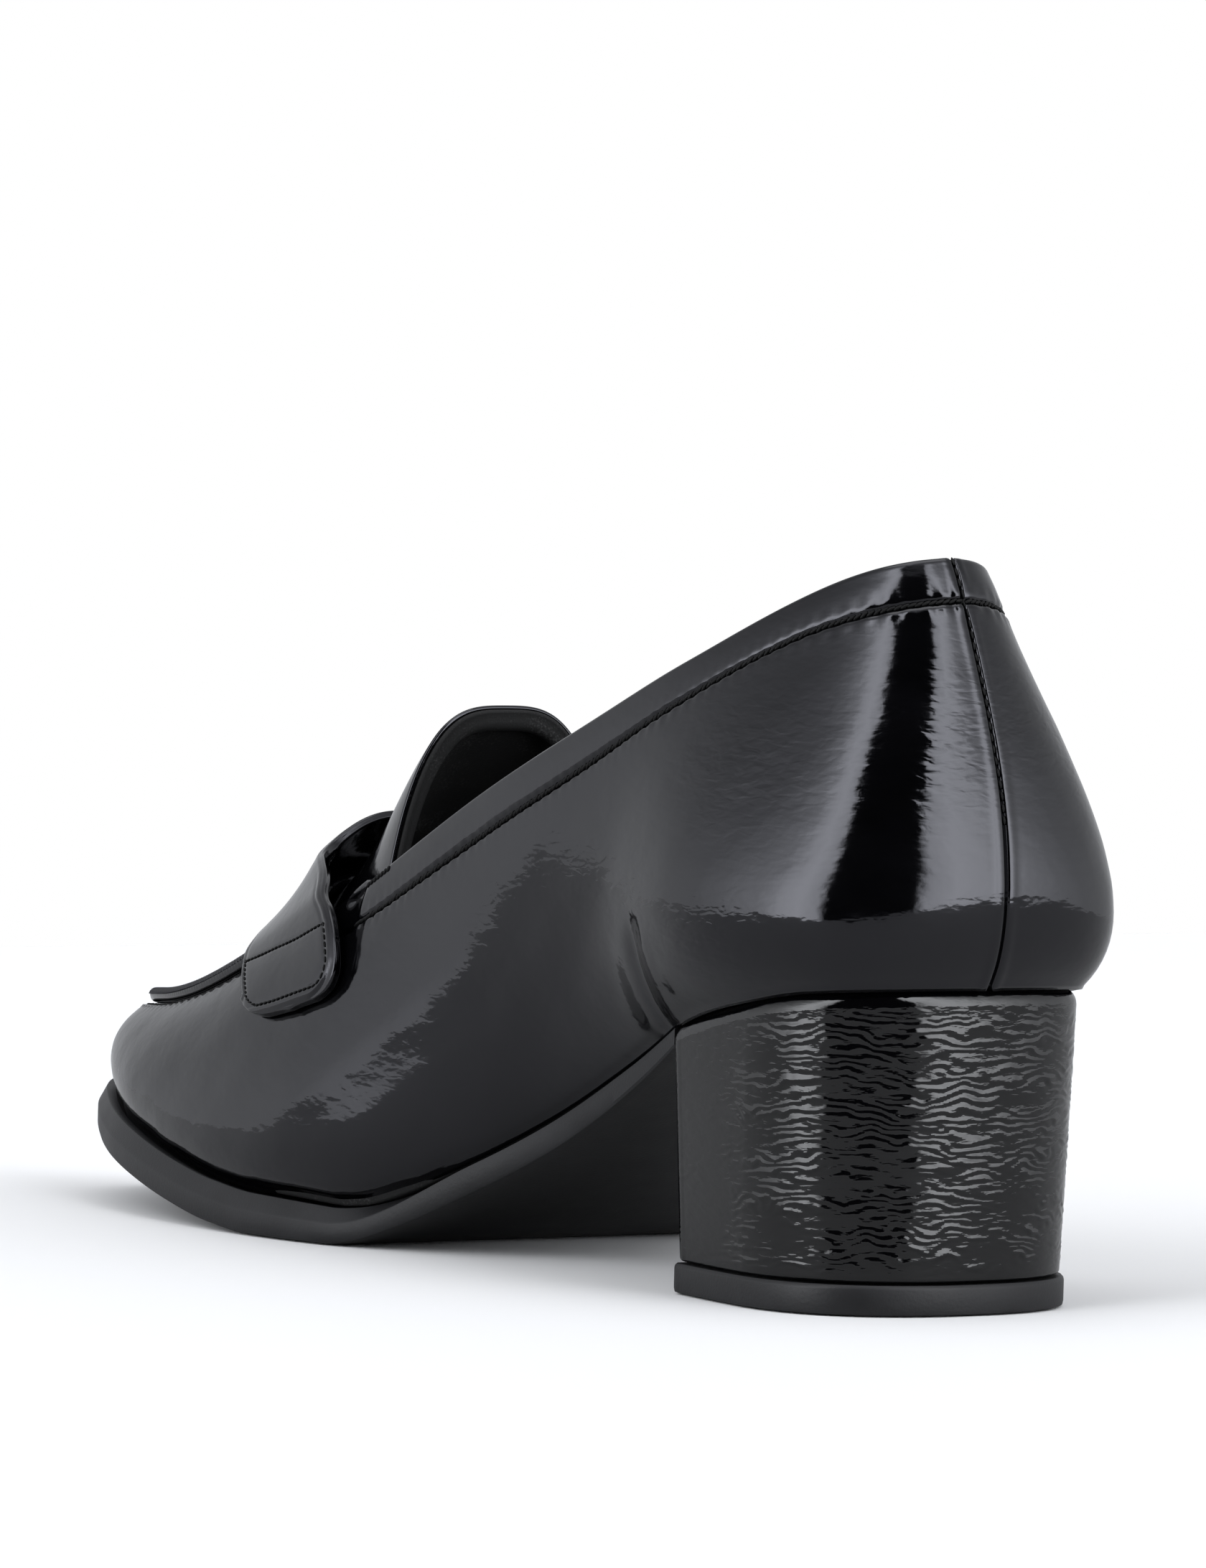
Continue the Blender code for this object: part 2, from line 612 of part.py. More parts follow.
def make_top_piece(look, home):
    inset = HEEL_TAPER - TOP_PIECE_PROUD
    rings = [
        heel_ring(inset + TOP_PIECE_BEVEL, lambda along: 0.0),
        heel_ring(inset, lambda along: TOP_PIECE_BEVEL),
        heel_ring(inset, lambda along: TOP_PIECE_THICKNESS),
    ]
    return rings_object("top_piece", rings, look, home)


def stand_on_origin(home):
    """Parent every piece to one empty, and put the middle of the bounding box over the origin."""
    stand = bpy.data.objects.new("stand", None)
    home.objects.link(stand)
    bpy.context.view_layer.update()
    graph = bpy.context.evaluated_depsgraph_get()
    pieces = [item for item in home.objects if item.type != "EMPTY"]
    shapes = [item.evaluated_get(graph).to_mesh() for item in pieces]
    corners = np.array([corner.co[:] for shape in shapes for corner in shape.vertices])
    low, high = corners.min(axis=0), corners.max(axis=0)
    stand.location = (-(low[0] + high[0]) / 2, -(low[1] + high[1]) / 2, 0.0)
    for item in pieces:
        item.parent = stand
    bpy.context.view_layer.update()


def main():
    clear_scene()
    home = bpy.data.collections.new("loafer_pump")
    bpy.context.scene.collection.children.link(home)
    patent = material("patent_leather", (0.012, 0.012, 0.015), 0.08, coat=1.0)
    crinkle = material("crinkled_patent", (0.012, 0.012, 0.014), 0.14, coat=0.8)
    lining = material("lining", (0.02, 0.02, 0.02), 0.8)
    rubber = material("rubber", (0.03, 0.03, 0.032), 0.55)
    make_outsole(rubber, home)
    make_heel(crinkle, home)
    make_top_piece(rubber, home)
    make_insole(lining, home)
    make_upper(patent, home)
    make_tongue(patent, home)
    make_strap(patent, home)
    make_seam(patent, home)
    stand_on_origin(home)


main()
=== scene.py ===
"""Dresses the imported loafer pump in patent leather, lining, stitches, rubber and a crinkled heel cover.

Metres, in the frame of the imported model. Inside the script a place on the shoe is given as along (from the
heel to the toe), out (towards the inner side of the foot) and height (above the floor).
"""

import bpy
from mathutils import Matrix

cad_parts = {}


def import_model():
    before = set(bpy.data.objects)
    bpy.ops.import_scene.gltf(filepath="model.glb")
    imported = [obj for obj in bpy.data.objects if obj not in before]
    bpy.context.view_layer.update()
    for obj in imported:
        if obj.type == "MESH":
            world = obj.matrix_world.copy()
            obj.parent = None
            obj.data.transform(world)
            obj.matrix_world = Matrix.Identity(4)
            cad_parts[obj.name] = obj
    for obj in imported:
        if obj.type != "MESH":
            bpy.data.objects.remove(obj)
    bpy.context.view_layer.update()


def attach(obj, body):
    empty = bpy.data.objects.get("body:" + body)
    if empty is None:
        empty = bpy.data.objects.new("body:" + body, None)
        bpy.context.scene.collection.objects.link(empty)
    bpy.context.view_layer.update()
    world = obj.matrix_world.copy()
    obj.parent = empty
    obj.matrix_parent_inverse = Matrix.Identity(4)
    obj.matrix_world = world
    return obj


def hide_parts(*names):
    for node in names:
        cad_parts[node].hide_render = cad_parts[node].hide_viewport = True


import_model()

import bmesh
import bpy
import numpy as np
from bpy.props import FloatProperty, FloatVectorProperty, PointerProperty
from mathutils import Matrix

bl_info = {
    "name": "Loafer pump",
    "version": (1, 0, 0),
    "blender": (4, 5, 0),
    "location": "3D View > Sidebar > Loafer pump",
    "description": "Makes the visible pieces of a patent leather loafer pump around its packed solids",
    "category": "Object",
}

# Sizes of the shoe: those of its solids, apart from the four whose comments say how they differ
LENGTH = 0.248
BALL_WIDTH = 0.078
HEEL_HEIGHT = 0.051
COLLAR_HEIGHT = 0.066
TOE_SPRING = 0.0134
GAP = 0.0003
WALL = 0.0018
BELLY = 0.010
LOWER_PULL = 0.22
UPPER_PULL = 0.34
APRON_STEER = 0.30
APRON_PEAK = 0.55
THROAT = 0.155
APRON_REAR = 0.172
APRON_BOW = 0.5
STRAP_THICKNESS = 0.0020
STRAP_FRONT_MIDDLE = 0.1920
STRAP_FRONT_TAB = 0.1613
STRAP_GIRTH = 0.051
STRAP_TAB_WALL = 0.66
STRAP_ON_APRON = 0.66
STRAP_CORNER = 0.0048  # a smaller radius than the solid's
STRAP_REAR_LIFT = 0.0028  # stands up higher than the solid's
STRAP_FLAT_POWER = 3
TONGUE_THICKNESS = 0.0020
TONGUE_CLEARANCE = 0.0005
TONGUE_TUCK = 0.008
TONGUE_SHARE = 0.88
TONGUE_EDGE_ALONG = 0.1415
TONGUE_EDGE_SWEEP = -0.0022  # bends its side corners back, where the solid's bend forwards
TONGUE_EDGE_HALF = 0.0240
TONGUE_EDGE_LOW = 0.0585
TONGUE_EDGE_HIGH = 0.0889
TONGUE_EDGE_POWER = 3.2
TONGUE_SWEEP_POWER = 6
TONGUE_RISE = (0.74, 0.67)
SOLE_THICKNESS = 0.0072
SOLE_LEDGE = 0.0036
SOLE_BEVEL = 0.0010
SOLE_SIDE_SPLIT = 0.58
INSOLE_THICKNESS = 0.0022
INSOLE_INSET = 0.0013  # half of the solid's
HEEL_BACK = 0.0024
HEEL_BREAST = 0.0504
HEEL_HALF_WIDTH = 0.0283
HEEL_BREAST_HALF = 0.0264
HEEL_ROUND_LENGTH = 0.0240
HEEL_ROUND_POWER = 2.36
HEEL_TAPER = 0.0012
HEEL_LIP = 0.0014
HEEL_WAIST = 0.3
TOP_PIECE_THICKNESS = 0.0048
TOP_PIECE_PROUD = 0.0006
HEEL_POINT = (0.000647, 0.122870)  # where the back of the heel seat lies in the frame
NEARBY = 0.02  # of a rib, the step over which a direction is taken

# Sections of the upper from the heel to the toe tip: along, inner, outer, top_along, top_inner, top_outer,
# lift, rise, inner_swell, outer_swell, shoulder, crown, as shares of the sizes above
RIBS = (
    (0.0060, 0.000, 0.000, 0.060, 0.000, 0.000, 1.000, 1.003, 0.95, 0.95, 1.19, 0.000),
    (0.0165, 0.204, -0.204, 0.075, 0.115, -0.115, 0.990, 0.991, 1.20, 1.20, 1.10, 0.000),
    (0.0460, 0.322, -0.322, 0.109, 0.190, -0.190, 0.965, 0.958, 1.34, 1.34, 0.95, 0.050),
    (0.1028, 0.370, -0.370, 0.150, 0.262, -0.262, 0.920, 0.908, 1.50, 1.50, 0.80, 0.100),
    (0.1530, 0.363, -0.370, 0.190, 0.308, -0.312, 0.860, 0.874, 1.46, 1.50, 0.65, 0.150),
    (0.2060, 0.323, -0.350, 0.228, 0.333, -0.340, 0.790, 0.861, 1.24, 1.33, 0.50, 0.200),
    (0.2620, 0.272, -0.340, 0.280, 0.349, -0.357, 0.690, 0.850, 1.05, 1.20, 0.35, 0.250),
    (0.3230, 0.250, -0.340, 0.336, 0.358, -0.367, 0.575, 0.849, 0.95, 1.05, 0.27, 0.310),
    (0.3830, 0.265, -0.360, 0.392, 0.361, -0.371, 0.450, 0.858, 0.90, 0.95, 0.22, 0.360),
    (0.4440, 0.322, -0.397, 0.448, 0.358, -0.370, 0.320, 0.867, 0.80, 0.85, 0.25, 0.400),
    (0.5040, 0.386, -0.440, 0.502, 0.354, -0.362, 0.200, 0.865, 0.75, 0.80, 0.38, 0.425),
    (0.5650, 0.439, -0.474, 0.553, 0.348, -0.350, 0.100, 0.852, 0.70, 0.72, 0.60, 0.420),
    (0.6250, 0.464, -0.486, 0.605, 0.341, -0.332, 0.035, 0.811, 0.60, 0.62, 0.80, 0.400),
    (0.6820, 0.464, -0.476, 0.660, 0.333, -0.310, 0.000, 0.742, 0.50, 0.52, 0.90, 0.328),
    (0.7440, 0.446, -0.440, 0.720, 0.318, -0.276, 0.000, 0.627, 0.40, 0.45, 0.95, 0.208),
    (0.8140, 0.405, -0.375, 0.790, 0.286, -0.222, 0.000, 0.500, 0.34, 0.36, 0.97, 0.120),
    (0.8760, 0.342, -0.290, 0.854, 0.244, -0.150, 0.000, 0.412, 0.30, 0.31, 0.97, 0.075),
    (0.9330, 0.254, -0.155, 0.907, 0.192, -0.066, 0.000, 0.358, 0.26, 0.26, 0.95, 0.044),
    (0.9700, 0.174, -0.040, 0.941, 0.141, 0.014, 0.000, 0.330, 0.25, 0.25, 0.95, 0.016),
    (0.9855, 0.080, 0.080, 0.952, 0.082, 0.082, 0.000, 0.318, 0.25, 0.25, 0.95, 0.000),
)
LAST_RIB = len(RIBS) - 1

# Line of the seat, and of the sole ahead of the heel breast: along, lift, spring, thickness, ledge
SEAT = ((0.0, 1.000), (0.055, 0.977), (0.110, 0.930), (0.160, 0.879), (0.205, 0.822))
SOLE = (
    (0.205, 0.757, 0.00, 0.46, 0.00),
    (0.262, 0.640, 0.00, 0.56, 0.00),
    (0.323, 0.494, 0.00, 0.68, 0.00),
    (0.383, 0.345, 0.00, 0.72, 0.00),
    (0.444, 0.198, 0.00, 0.72, 0.05),
    (0.504, 0.066, 0.00, 0.74, 0.18),
    (0.536, 0.014, 0.00, 0.80, 0.36),
    (0.556, 0.000, 0.00, 0.86, 0.50),
    (0.630, 0.000, 0.00, 0.97, 0.70),
    (0.682, 0.000, 0.07, 1.00, 0.82),
    (0.744, 0.000, 0.24, 1.00, 0.92),
    (0.823, 0.000, 0.50, 1.00, 1.00),
    (0.887, 0.000, 0.70, 0.98, 1.00),
    (0.940, 0.000, 0.86, 0.95, 0.97),
    (1.000, 0.000, 1.00, 0.92, 0.95),
)
SOLE_COLUMNS = ("along", "lift", "spring", "thickness", "ledge")

# Rear edge of the strap, a little off the solid's: share of the way over the foot to a tab's end, then the
# place along the shoe
STRAP_REAR = (
    (0.00, 0.1695),
    (0.32, 0.1693),
    (0.42, 0.1672),
    (0.52, 0.1612),
    (0.60, 0.1543),
    (0.68, 0.1480),
    (0.76, 0.1434),
    (0.84, 0.1404),
    (0.92, 0.1384),
    (1.00, 0.1372),
)

PATENT_TINT = (0.93, 0.93, 1.0, 1.0)  # the gloss throws a faintly blue light back

# Soft forms of the upper
ROW_SPACING = (0.00013, 0.0003, 0.0009)  # of the rows of points, at the back seam, near it and elsewhere
SEAM_SWELL = 0.00016  # of the leather beside a seam
PUCKER_BELOW, PUCKER_ABOVE = 0.00011, 0.00008  # height of the puckers on both sides of the collar's seam
RIDGE_TROUGH = 0.0014  # depth of the trough under the apron's ridge
RIDGE_PULL = 0.00011  # height of the pull of every whipped stitch
QUARTER_STEP = 0.0009  # the vamp lies this much deeper than the quarter's front edge
TURNED_UNDER = 0.0017  # how far the wall is drawn in above the sole
WALL_FOOT = 0.0009  # how far the leather goes on below the feather line
EVEN_WRINKLES = 0.14  # strength of the fine wrinkles outside the wrinkled patches

# Soft forms of the other pieces
APRON_HIDDEN = 0.0055  # how far the middle of the apron's rear edge is tucked further under the strap
RIDGE_OUT = 0.0003  # from the seam line to the middle of the ridge
RIDGE_LIFT = 0.08  # the same upwards, as a share of the ridge's height
STRAP_CROSS_REAR, STRAP_CROSS_SLANT = 0.788, 0.043  # girth of the seam across a tab, and its fall forwards
STRAP_TROUGH = 0.00038  # half width of the trough that the strap's stitches lie in
TONGUE_FACE = 0.0009  # thickness of the tongue's leather
SIDE_SPLIT_AT_WAIST = 0.93  # share of the sole's side below its groove, where the ledge has run out
WAIST_FACET, WAIST_PLACE, WAIST_REACH = 0.0012, 0.123, 0.010  # the side's upper band is cut back here
HEEL_FOOT_ROUND = 0.0006  # radius of the heel cover's lower edge
CRINKLE_SPACING = 0.0014  # upwards
CRINKLE_FRONT = 0.74  # share of a crinkle on its longer side
BACK_SEAM_TOP, BACK_SEAM_LOW = 0.1165, 0.0768  # heights between which the back is stitched
THROAT_STITCHES_START = 0.1325  # along, up to the quarter's front
UP = np.array([0.0, 0.0, 1.0])

# Columns of a place on the loop of ribs
ALONG, TOP_ALONG, OUT, TOP_OUT, SWELL, HEIGHT, SHOULDER, CROWN = range(8)

# Soft troughs and ridges of the upper: side, then along and height of both ends, width and
# depth in millimetres
CREASES = (
    (1, 54.5, 55.0, 52.6, 40.0, 2.6, -0.55),
    (1, 50.0, 54.0, 49.6, 41.0, 2.6, 0.20),
    (1, 60.5, 52.0, 57.5, 41.0, 3.2, 0.16),
    (1, 66.0, 62.0, 78.0, 47.0, 5.0, -0.14),
    (1, 84.0, 56.0, 98.0, 40.0, 4.5, 0.12),
    (1, 101.0, 42.0, 140.0, 20.5, 3.6, -0.16),
    (1, 108.0, 47.0, 146.0, 24.0, 4.0, 0.14),
    (1, 150.0, 15.5, 192.0, 16.0, 4.0, 0.16),
    (1, 24.0, 78.0, 44.0, 80.0, 1.6, -0.05),
    (1, 22.0, 84.0, 40.0, 87.0, 1.6, -0.05),
    (1, 26.0, 71.0, 46.0, 72.0, 1.7, -0.05),
    (-1, 56.0, 56.0, 53.0, 42.0, 3.0, -0.30),
    (-1, 104.0, 44.0, 146.0, 22.0, 4.0, -0.15),
    (-1, 112.0, 49.0, 152.0, 27.0, 4.0, 0.13),
)


def hermite(start, end, start_slope, end_slope, part):
    """Cubic between two values with given slopes."""
    rise = part * part * (3 - 2 * part)
    return (
        start * (1 - rise)
        + end * rise
        + start_slope * part * (1 - part) ** 2
        - end_slope * part * part * (1 - part)
    )


def bezier(a, b, c, d, part):
    """Cubic from a to d, steered by b and c."""
    return a * (1 - part) ** 3 + b * 3 * part * (1 - part) ** 2 + c * 3 * part**2 * (1 - part) + d * part**3


def steady(table, place):
    """Value at place of a curve through (place, value) rows that never overshoots them."""
    at, value = np.array(table, float).T
    step = np.diff(at)
    secant = np.diff(value) / step
    slope = np.zeros(len(at))
    for i in range(1, len(at) - 1):
        if secant[i - 1] * secant[i] > 0:
            before = 2 * step[i] + step[i - 1]
            after = step[i] + 2 * step[i - 1]
            slope[i] = (before + after) / (before / secant[i - 1] + after / secant[i])
    slope[0], slope[-1] = secant[0], secant[-1]
    place = np.clip(np.asarray(place, float), at[0], at[-1])
    i = np.clip(np.searchsorted(at, place, side="right") - 1, 0, len(step) - 1)
    part = (place - at[i]) / step[i]
    return hermite(value[i], value[i + 1], slope[i] * step[i], slope[i + 1] * step[i], part)


def smooth(low, high, value):
    """0 below low, 1 above high, and an even rise between them."""
    part = np.clip((value - low) / (high - low), 0, 1)
    return part * part * (3 - 2 * part)


def bump(offset, width):
    """A smooth bump, 1 in its middle."""
    return np.exp(-((offset / width) ** 2))


def lattice_noise(points, seed):
    """Smooth noise from -1 to 1 that changes over a distance of about 1."""
    size = 32
    table = np.random.default_rng(seed).uniform(-1, 1, (size, size, size))
    cell = np.floor(points).astype(int)
    part = points - cell
    part = part * part * (3 - 2 * part)
    total = 0
    for corner in np.ndindex(2, 2, 2):
        share = np.prod(np.where(np.array(corner) == 1, part, 1 - part), axis=-1)
        i, j, k = np.moveaxis((cell + corner) % size, -1, 0)
        total = total + share * table[i, j, k]
    return total


def unit(vectors):
    """The vectors, each made one long."""
    return vectors / np.maximum(np.linalg.norm(vectors, axis=-1, keepdims=True), 1e-12)


def loop_knots():
    """Knots of the closed loop of ribs: up the inner side to the toe tip and back down the outer side."""
    inner = []
    outer = []
    for row in RIBS:
        along, low_in, low_out, top_along, top_in, top_out = row[:6]
        lift, rise, swell_in, swell_out, shoulder, crown = row[6:]
        shape = [lift * HEEL_HEIGHT + rise * COLLAR_HEIGHT, shoulder * BELLY, crown * COLLAR_HEIGHT]
        plan = [along * LENGTH, top_along * LENGTH]
        inner.append(plan + [low_in * BALL_WIDTH, top_in * BALL_WIDTH, swell_in * BELLY] + shape)
        outer.append(plan + [low_out * BALL_WIDTH, top_out * BALL_WIDTH, swell_out * BELLY] + shape)
    return np.array(inner + outer[-2:0:-1])


KNOTS = loop_knots()
COUNT = len(KNOTS)


def knot_slopes():
    """Slopes that make the closed curve through the knots smooth to its second derivative."""
    one = np.eye(COUNT)
    matrix = 4 * one + np.roll(one, 1, axis=1) + np.roll(one, -1, axis=1)
    return np.linalg.solve(matrix, 3 * (np.roll(KNOTS, -1, axis=0) - np.roll(KNOTS, 1, axis=0)))


SLOPES = knot_slopes()


def loop_at(turn):
    """Every column at places on the loop, which are counted in ribs."""
    turn = np.asarray(turn, float)
    whole = np.floor(turn).astype(int)
    part = (turn - whole)[..., None]
    i = whole % COUNT
    j = (i + 1) % COUNT
    return hermite(KNOTS[i], KNOTS[j], SLOPES[i], SLOPES[j], part)


RIB_SAMPLES = np.linspace(0, LAST_RIB, 40 * LAST_RIB + 1)
SAMPLED = loop_at(RIB_SAMPLES)


def rib_at(column, along):
    """Rib number at which a column, ALONG or TOP_ALONG, reaches a place along the shoe."""
    return np.interp(along, SAMPLED[:, column], RIB_SAMPLES)


def turn_of(rib, side):
    """Place on the loop of a rib number: side is 1 for the inner side and -1 for the outer."""
    return np.where(np.asarray(side) > 0, rib, COUNT - np.asarray(rib, float))


def at_along(value, along):
    """Value of a function of along, or the number itself, at places along the shoe."""
    return value(along) if callable(value) else np.full_like(along, value)


def sole_column(name, along):
    """Named column of the sole's table at places along the shoe."""
    column = SOLE_COLUMNS.index(name)
    return steady([(row[0] * LENGTH, row[column]) for row in SOLE], along)


def sole_thickness(along):
    return sole_column("thickness", along) * SOLE_THICKNESS


def sole_bottom(along):
    return sole_column("lift", along) * HEEL_HEIGHT + sole_column("spring", along) * TOE_SPRING


def seat_height(along):
    """Top of the heel block behind the breast and of the sole ahead of it."""
    breast = SOLE[0][0] * LENGTH
    ahead = sole_bottom(along) + sole_thickness(along)
    behind = steady([(a * LENGTH, h * HEEL_HEIGHT) for a, h in SEAT], along)
    step = sole_bottom(breast) + sole_thickness(breast) - SEAT[-1][1] * HEEL_HEIGHT
    behind = behind + step * (np.clip(along, 0, breast) / breast) ** 2
    return np.where(along < breast, behind, ahead)


def feather(turn):
    """Points where the wall meets the sole, and the level directions out of the shoe there."""
    here, before, after = loop_at(turn), loop_at(turn - NEARBY), loop_at(turn + NEARBY)
    forward = unit((after - before)[..., [ALONG, OUT]])
    point = np.stack([here[..., ALONG], here[..., OUT], seat_height(here[..., ALONG]) + GAP], axis=-1)
    outward = np.stack([-forward[..., 1], forward[..., 0], np.zeros_like(forward[..., 0])], axis=-1)
    return point, outward


def top_edge(turn):
    """Points of the top edge behind the throat and of the apron seam ahead of it."""
    here = loop_at(turn)
    height = here[..., HEIGHT] + sole_column("spring", here[..., ALONG]) * TOE_SPRING
    return np.stack([here[..., TOP_ALONG], here[..., TOP_OUT], height], axis=-1)


def wall(turn, part):
    """Outside of the upper's wall: part runs from 0 at the feather line to 1 at the top edge."""
    turn, part = np.broadcast_arrays(np.asarray(turn, float), np.asarray(part, float))
    here = loop_at(turn)
    low, outward = feather(turn)
    high = top_edge(turn)
    rise = np.zeros_like(low)
    rise[..., 2] = high[..., 2] - low[..., 2]
    steer_low = low + outward * here[..., SWELL, None] + rise * LOWER_PULL
    steer_high = high + outward * here[..., SHOULDER, None] - rise * UPPER_PULL
    return bezier(low, steer_low, steer_high, high, part[..., None])


def apron(rib, across):
    """Outside of the apron: across runs from 1 at the inner seam to -1 at the outer one."""
    rib, across = np.broadcast_arrays(np.asarray(rib, float), np.asarray(across, float))
    inner, outer = top_edge(turn_of(rib, 1)), top_edge(turn_of(rib, -1))
    crown = loop_at(rib)[..., CROWN, None]
    lift = np.zeros_like(inner)
    lift[..., 2:] = crown * 4 / 3
    reach = (outer - inner) * (APRON_STEER + APRON_PEAK * crown / COLLAR_HEIGHT)
    return bezier(inner, inner + reach + lift, outer - reach + lift, outer, (1 - across[..., None]) / 2)


def apron_rear(across):
    """Rib number of the apron's rear edge, which bows forward in the middle."""
    return rib_at(TOP_ALONG, THROAT + (APRON_REAR - THROAT) * (1 - across**2) ** APRON_BOW)


def strap_edges(girth, inset=0.0):
    """Rear and front edge of the strap, or of a line inset from both. Girth runs from 0 to 1 at a tab."""
    girth = np.abs(girth)
    rear = steady(STRAP_REAR, girth) + inset
    front = STRAP_FRONT_MIDDLE + (STRAP_FRONT_TAB - STRAP_FRONT_MIDDLE) * girth**2 - inset
    corner = STRAP_CORNER - inset
    left = np.clip(corner + inset - (1 - girth) * STRAP_GIRTH, 0, corner)
    turned = corner - np.sqrt(corner**2 - left**2)
    return rear + turned, front - turned


def inside_strap(girth, along):
    """Distance from a place on the strap to its outline, up to the radius of the tabs' corners."""
    rear, front = strap_edges(np.minimum(np.abs(girth), 1 - STRAP_CORNER / STRAP_GIRTH))
    side = STRAP_CORNER - np.minimum(along - rear, front - along)
    end = STRAP_CORNER - (1 - np.abs(girth)) * STRAP_GIRTH
    return STRAP_CORNER - np.hypot(np.clip(side, 0, None), np.clip(end, 0, None))


def on_upper(rib, girth):
    """Outside of the upper under the strap, over the apron and down both walls."""
    over = apron(rib, np.clip(girth / STRAP_ON_APRON, -1, 1))
    down = np.clip((np.abs(girth) - STRAP_ON_APRON) / (1 - STRAP_ON_APRON), 0, 1)
    beside = wall(turn_of(rib, np.sign(girth)), 1 - down * (1 - STRAP_TAB_WALL))
    return np.where((np.abs(girth) <= STRAP_ON_APRON)[..., None], over, beside)


def tongue_edge(across):
    """Free edge of the tongue, an arch with square shoulders."""
    arch = 1 - np.abs(across) ** TONGUE_EDGE_POWER
    height = TONGUE_EDGE_LOW + (TONGUE_EDGE_HIGH - TONGUE_EDGE_LOW) * arch
    along = TONGUE_EDGE_ALONG + TONGUE_EDGE_SWEEP * np.abs(across) ** TONGUE_SWEEP_POWER
    return np.stack([along, TONGUE_EDGE_HALF * across, height], axis=-1)


def under_apron(rib, across):
    """Points on the tongue's outside below the apron, and the directions backwards along it."""
    back = apron(rib - NEARBY, across) - apron(rib + NEARBY, across)
    aside = apron(rib, across - NEARBY) - apron(rib, across + NEARBY)
    normal = unit(np.cross(back, aside))
    normal = normal * np.sign(normal[..., 2:])
    return apron(rib, across) - normal * (WALL + TONGUE_CLEARANCE), unit(back)


def grid_normals(grid, ring=False):
    """Unit normals of a grid of points. With ring, its first row follows its last."""
    if ring:
        down = np.roll(grid, -1, axis=0) - np.roll(grid, 1, axis=0)
    else:
        down = np.gradient(grid, axis=0)
    return unit(np.cross(down, np.gradient(grid, axis=1)))


def grid_faces(rows, columns, row_ring=False, column_ring=False):
    """Four-sided faces of a grid of points, which may close on itself either way."""
    r = np.arange(rows if row_ring else rows - 1)[:, None]
    c = np.arange(columns if column_ring else columns - 1)[None, :]
    next_r, next_c = (r + 1) % rows, (c + 1) % columns
    corners = (r * columns + c, next_r * columns + c, next_r * columns + next_c, r * columns + next_c)
    return np.stack(np.broadcast_arrays(*corners), axis=-1).reshape(-1, 4)


def run_below(lines):
    """Distance along each line of points from its first one."""
    steps = np.linalg.norm(np.diff(lines, axis=1), axis=2)
    return np.concatenate([np.zeros((len(lines), 1)), np.cumsum(steps, axis=1)], axis=1)


def sample(grid, row, column):
    """Value of a grid between its points, at fractional row and column numbers."""
    row = np.clip(row, 0, grid.shape[0] - 1.001)
    column = np.clip(column, 0, grid.shape[1] - 1.001)
    r, c = np.floor(row).astype(int), np.floor(column).astype(int)
    u, v = (row - r)[..., None], (column - c)[..., None]
    upper = grid[r, c] * (1 - v) + grid[r, c + 1] * v
    lower = grid[r + 1, c] * (1 - v) + grid[r + 1, c + 1] * v
    return upper * (1 - u) + lower * u


def world(points):
    """Points given as along, out and height in the frame's own coordinates."""
    points = np.asarray(points, float)
    return np.stack([points[..., 1] + HEEL_POINT[0], HEEL_POINT[1] - points[..., 0], points[..., 2]], axis=-1)


# Materials


def node_maker(tree):
    """Function that adds a node to the tree, with links or values for its inputs and settings of its own."""

    def add(kind, inputs=(), **settings):
        node = tree.nodes.new(kind)
        for key, value in settings.items():
            setattr(node, key, value)
        for name, value in dict(inputs).items():
            if isinstance(value, bpy.types.NodeSocket):
                tree.links.new(value, node.inputs[name])
            else:
                node.inputs[name].default_value = value
        return node

    return add


def start_material(name, base, roughness, **sockets):
    """Material with a plain surface, its shader and the function that adds nodes to it."""
    made = bpy.data.materials.new(name)
    made.use_nodes = True
    shader = made.node_tree.nodes["Principled BSDF"]
    shader.inputs["Base Color"].default_value = (*base, 1.0)
    shader.inputs["Roughness"].default_value = roughness
    for key, value in sockets.items():
        shader.inputs[key.replace("_", " ")].default_value = value
    made.diffuse_color = (*base, 1.0)
    return made, shader, node_maker(made.node_tree)


def stretched_noise(add, scale, detail, distortion=0.0):
    """Noise over the object's own coordinates, with a scale of its own along each axis."""
    place = add("ShaderNodeTexCoord")
    mapped = add("ShaderNodeMapping", {"Vector": place.outputs["Object"], "Scale": scale})
    return add(
        "ShaderNodeTexNoise",
        {
            "Vector": mapped.outputs["Vector"],
            "Scale": 1.0,
            "Detail": detail,
            "Roughness": 0.5,
            "Distortion": distortion,
        },
    )


def bumped(add, height, distance, under=None):
    """Normal of a relief this high, over another one."""
    inputs = {"Height": height, "Distance": distance, "Strength": 1.0}
    if under is not None:
        inputs["Normal"] = under
    return add("ShaderNodeBump", inputs).outputs["Normal"]


def colour_between(add, factor, low, high, dark, light):
    """Colour that goes from dark to light as the factor goes from low to high."""
    ramp = add("ShaderNodeValToRGB", {"Fac": factor})
    ramp.color_ramp.elements[0].position = low
    ramp.color_ramp.elements[0].color = (*dark, 1.0)
    ramp.color_ramp.elements[1].position = high
    ramp.color_ramp.elements[1].color = (*light, 1.0)
    return ramp.outputs["Color"]


def value_between(add, factor, low, high):
    """Value that goes from low to high as the factor goes from 0 to 1."""
    mapped = add("ShaderNodeMapRange", {"Value": factor, "To Min": low, "To Max": high})
    return mapped.outputs["Result"]


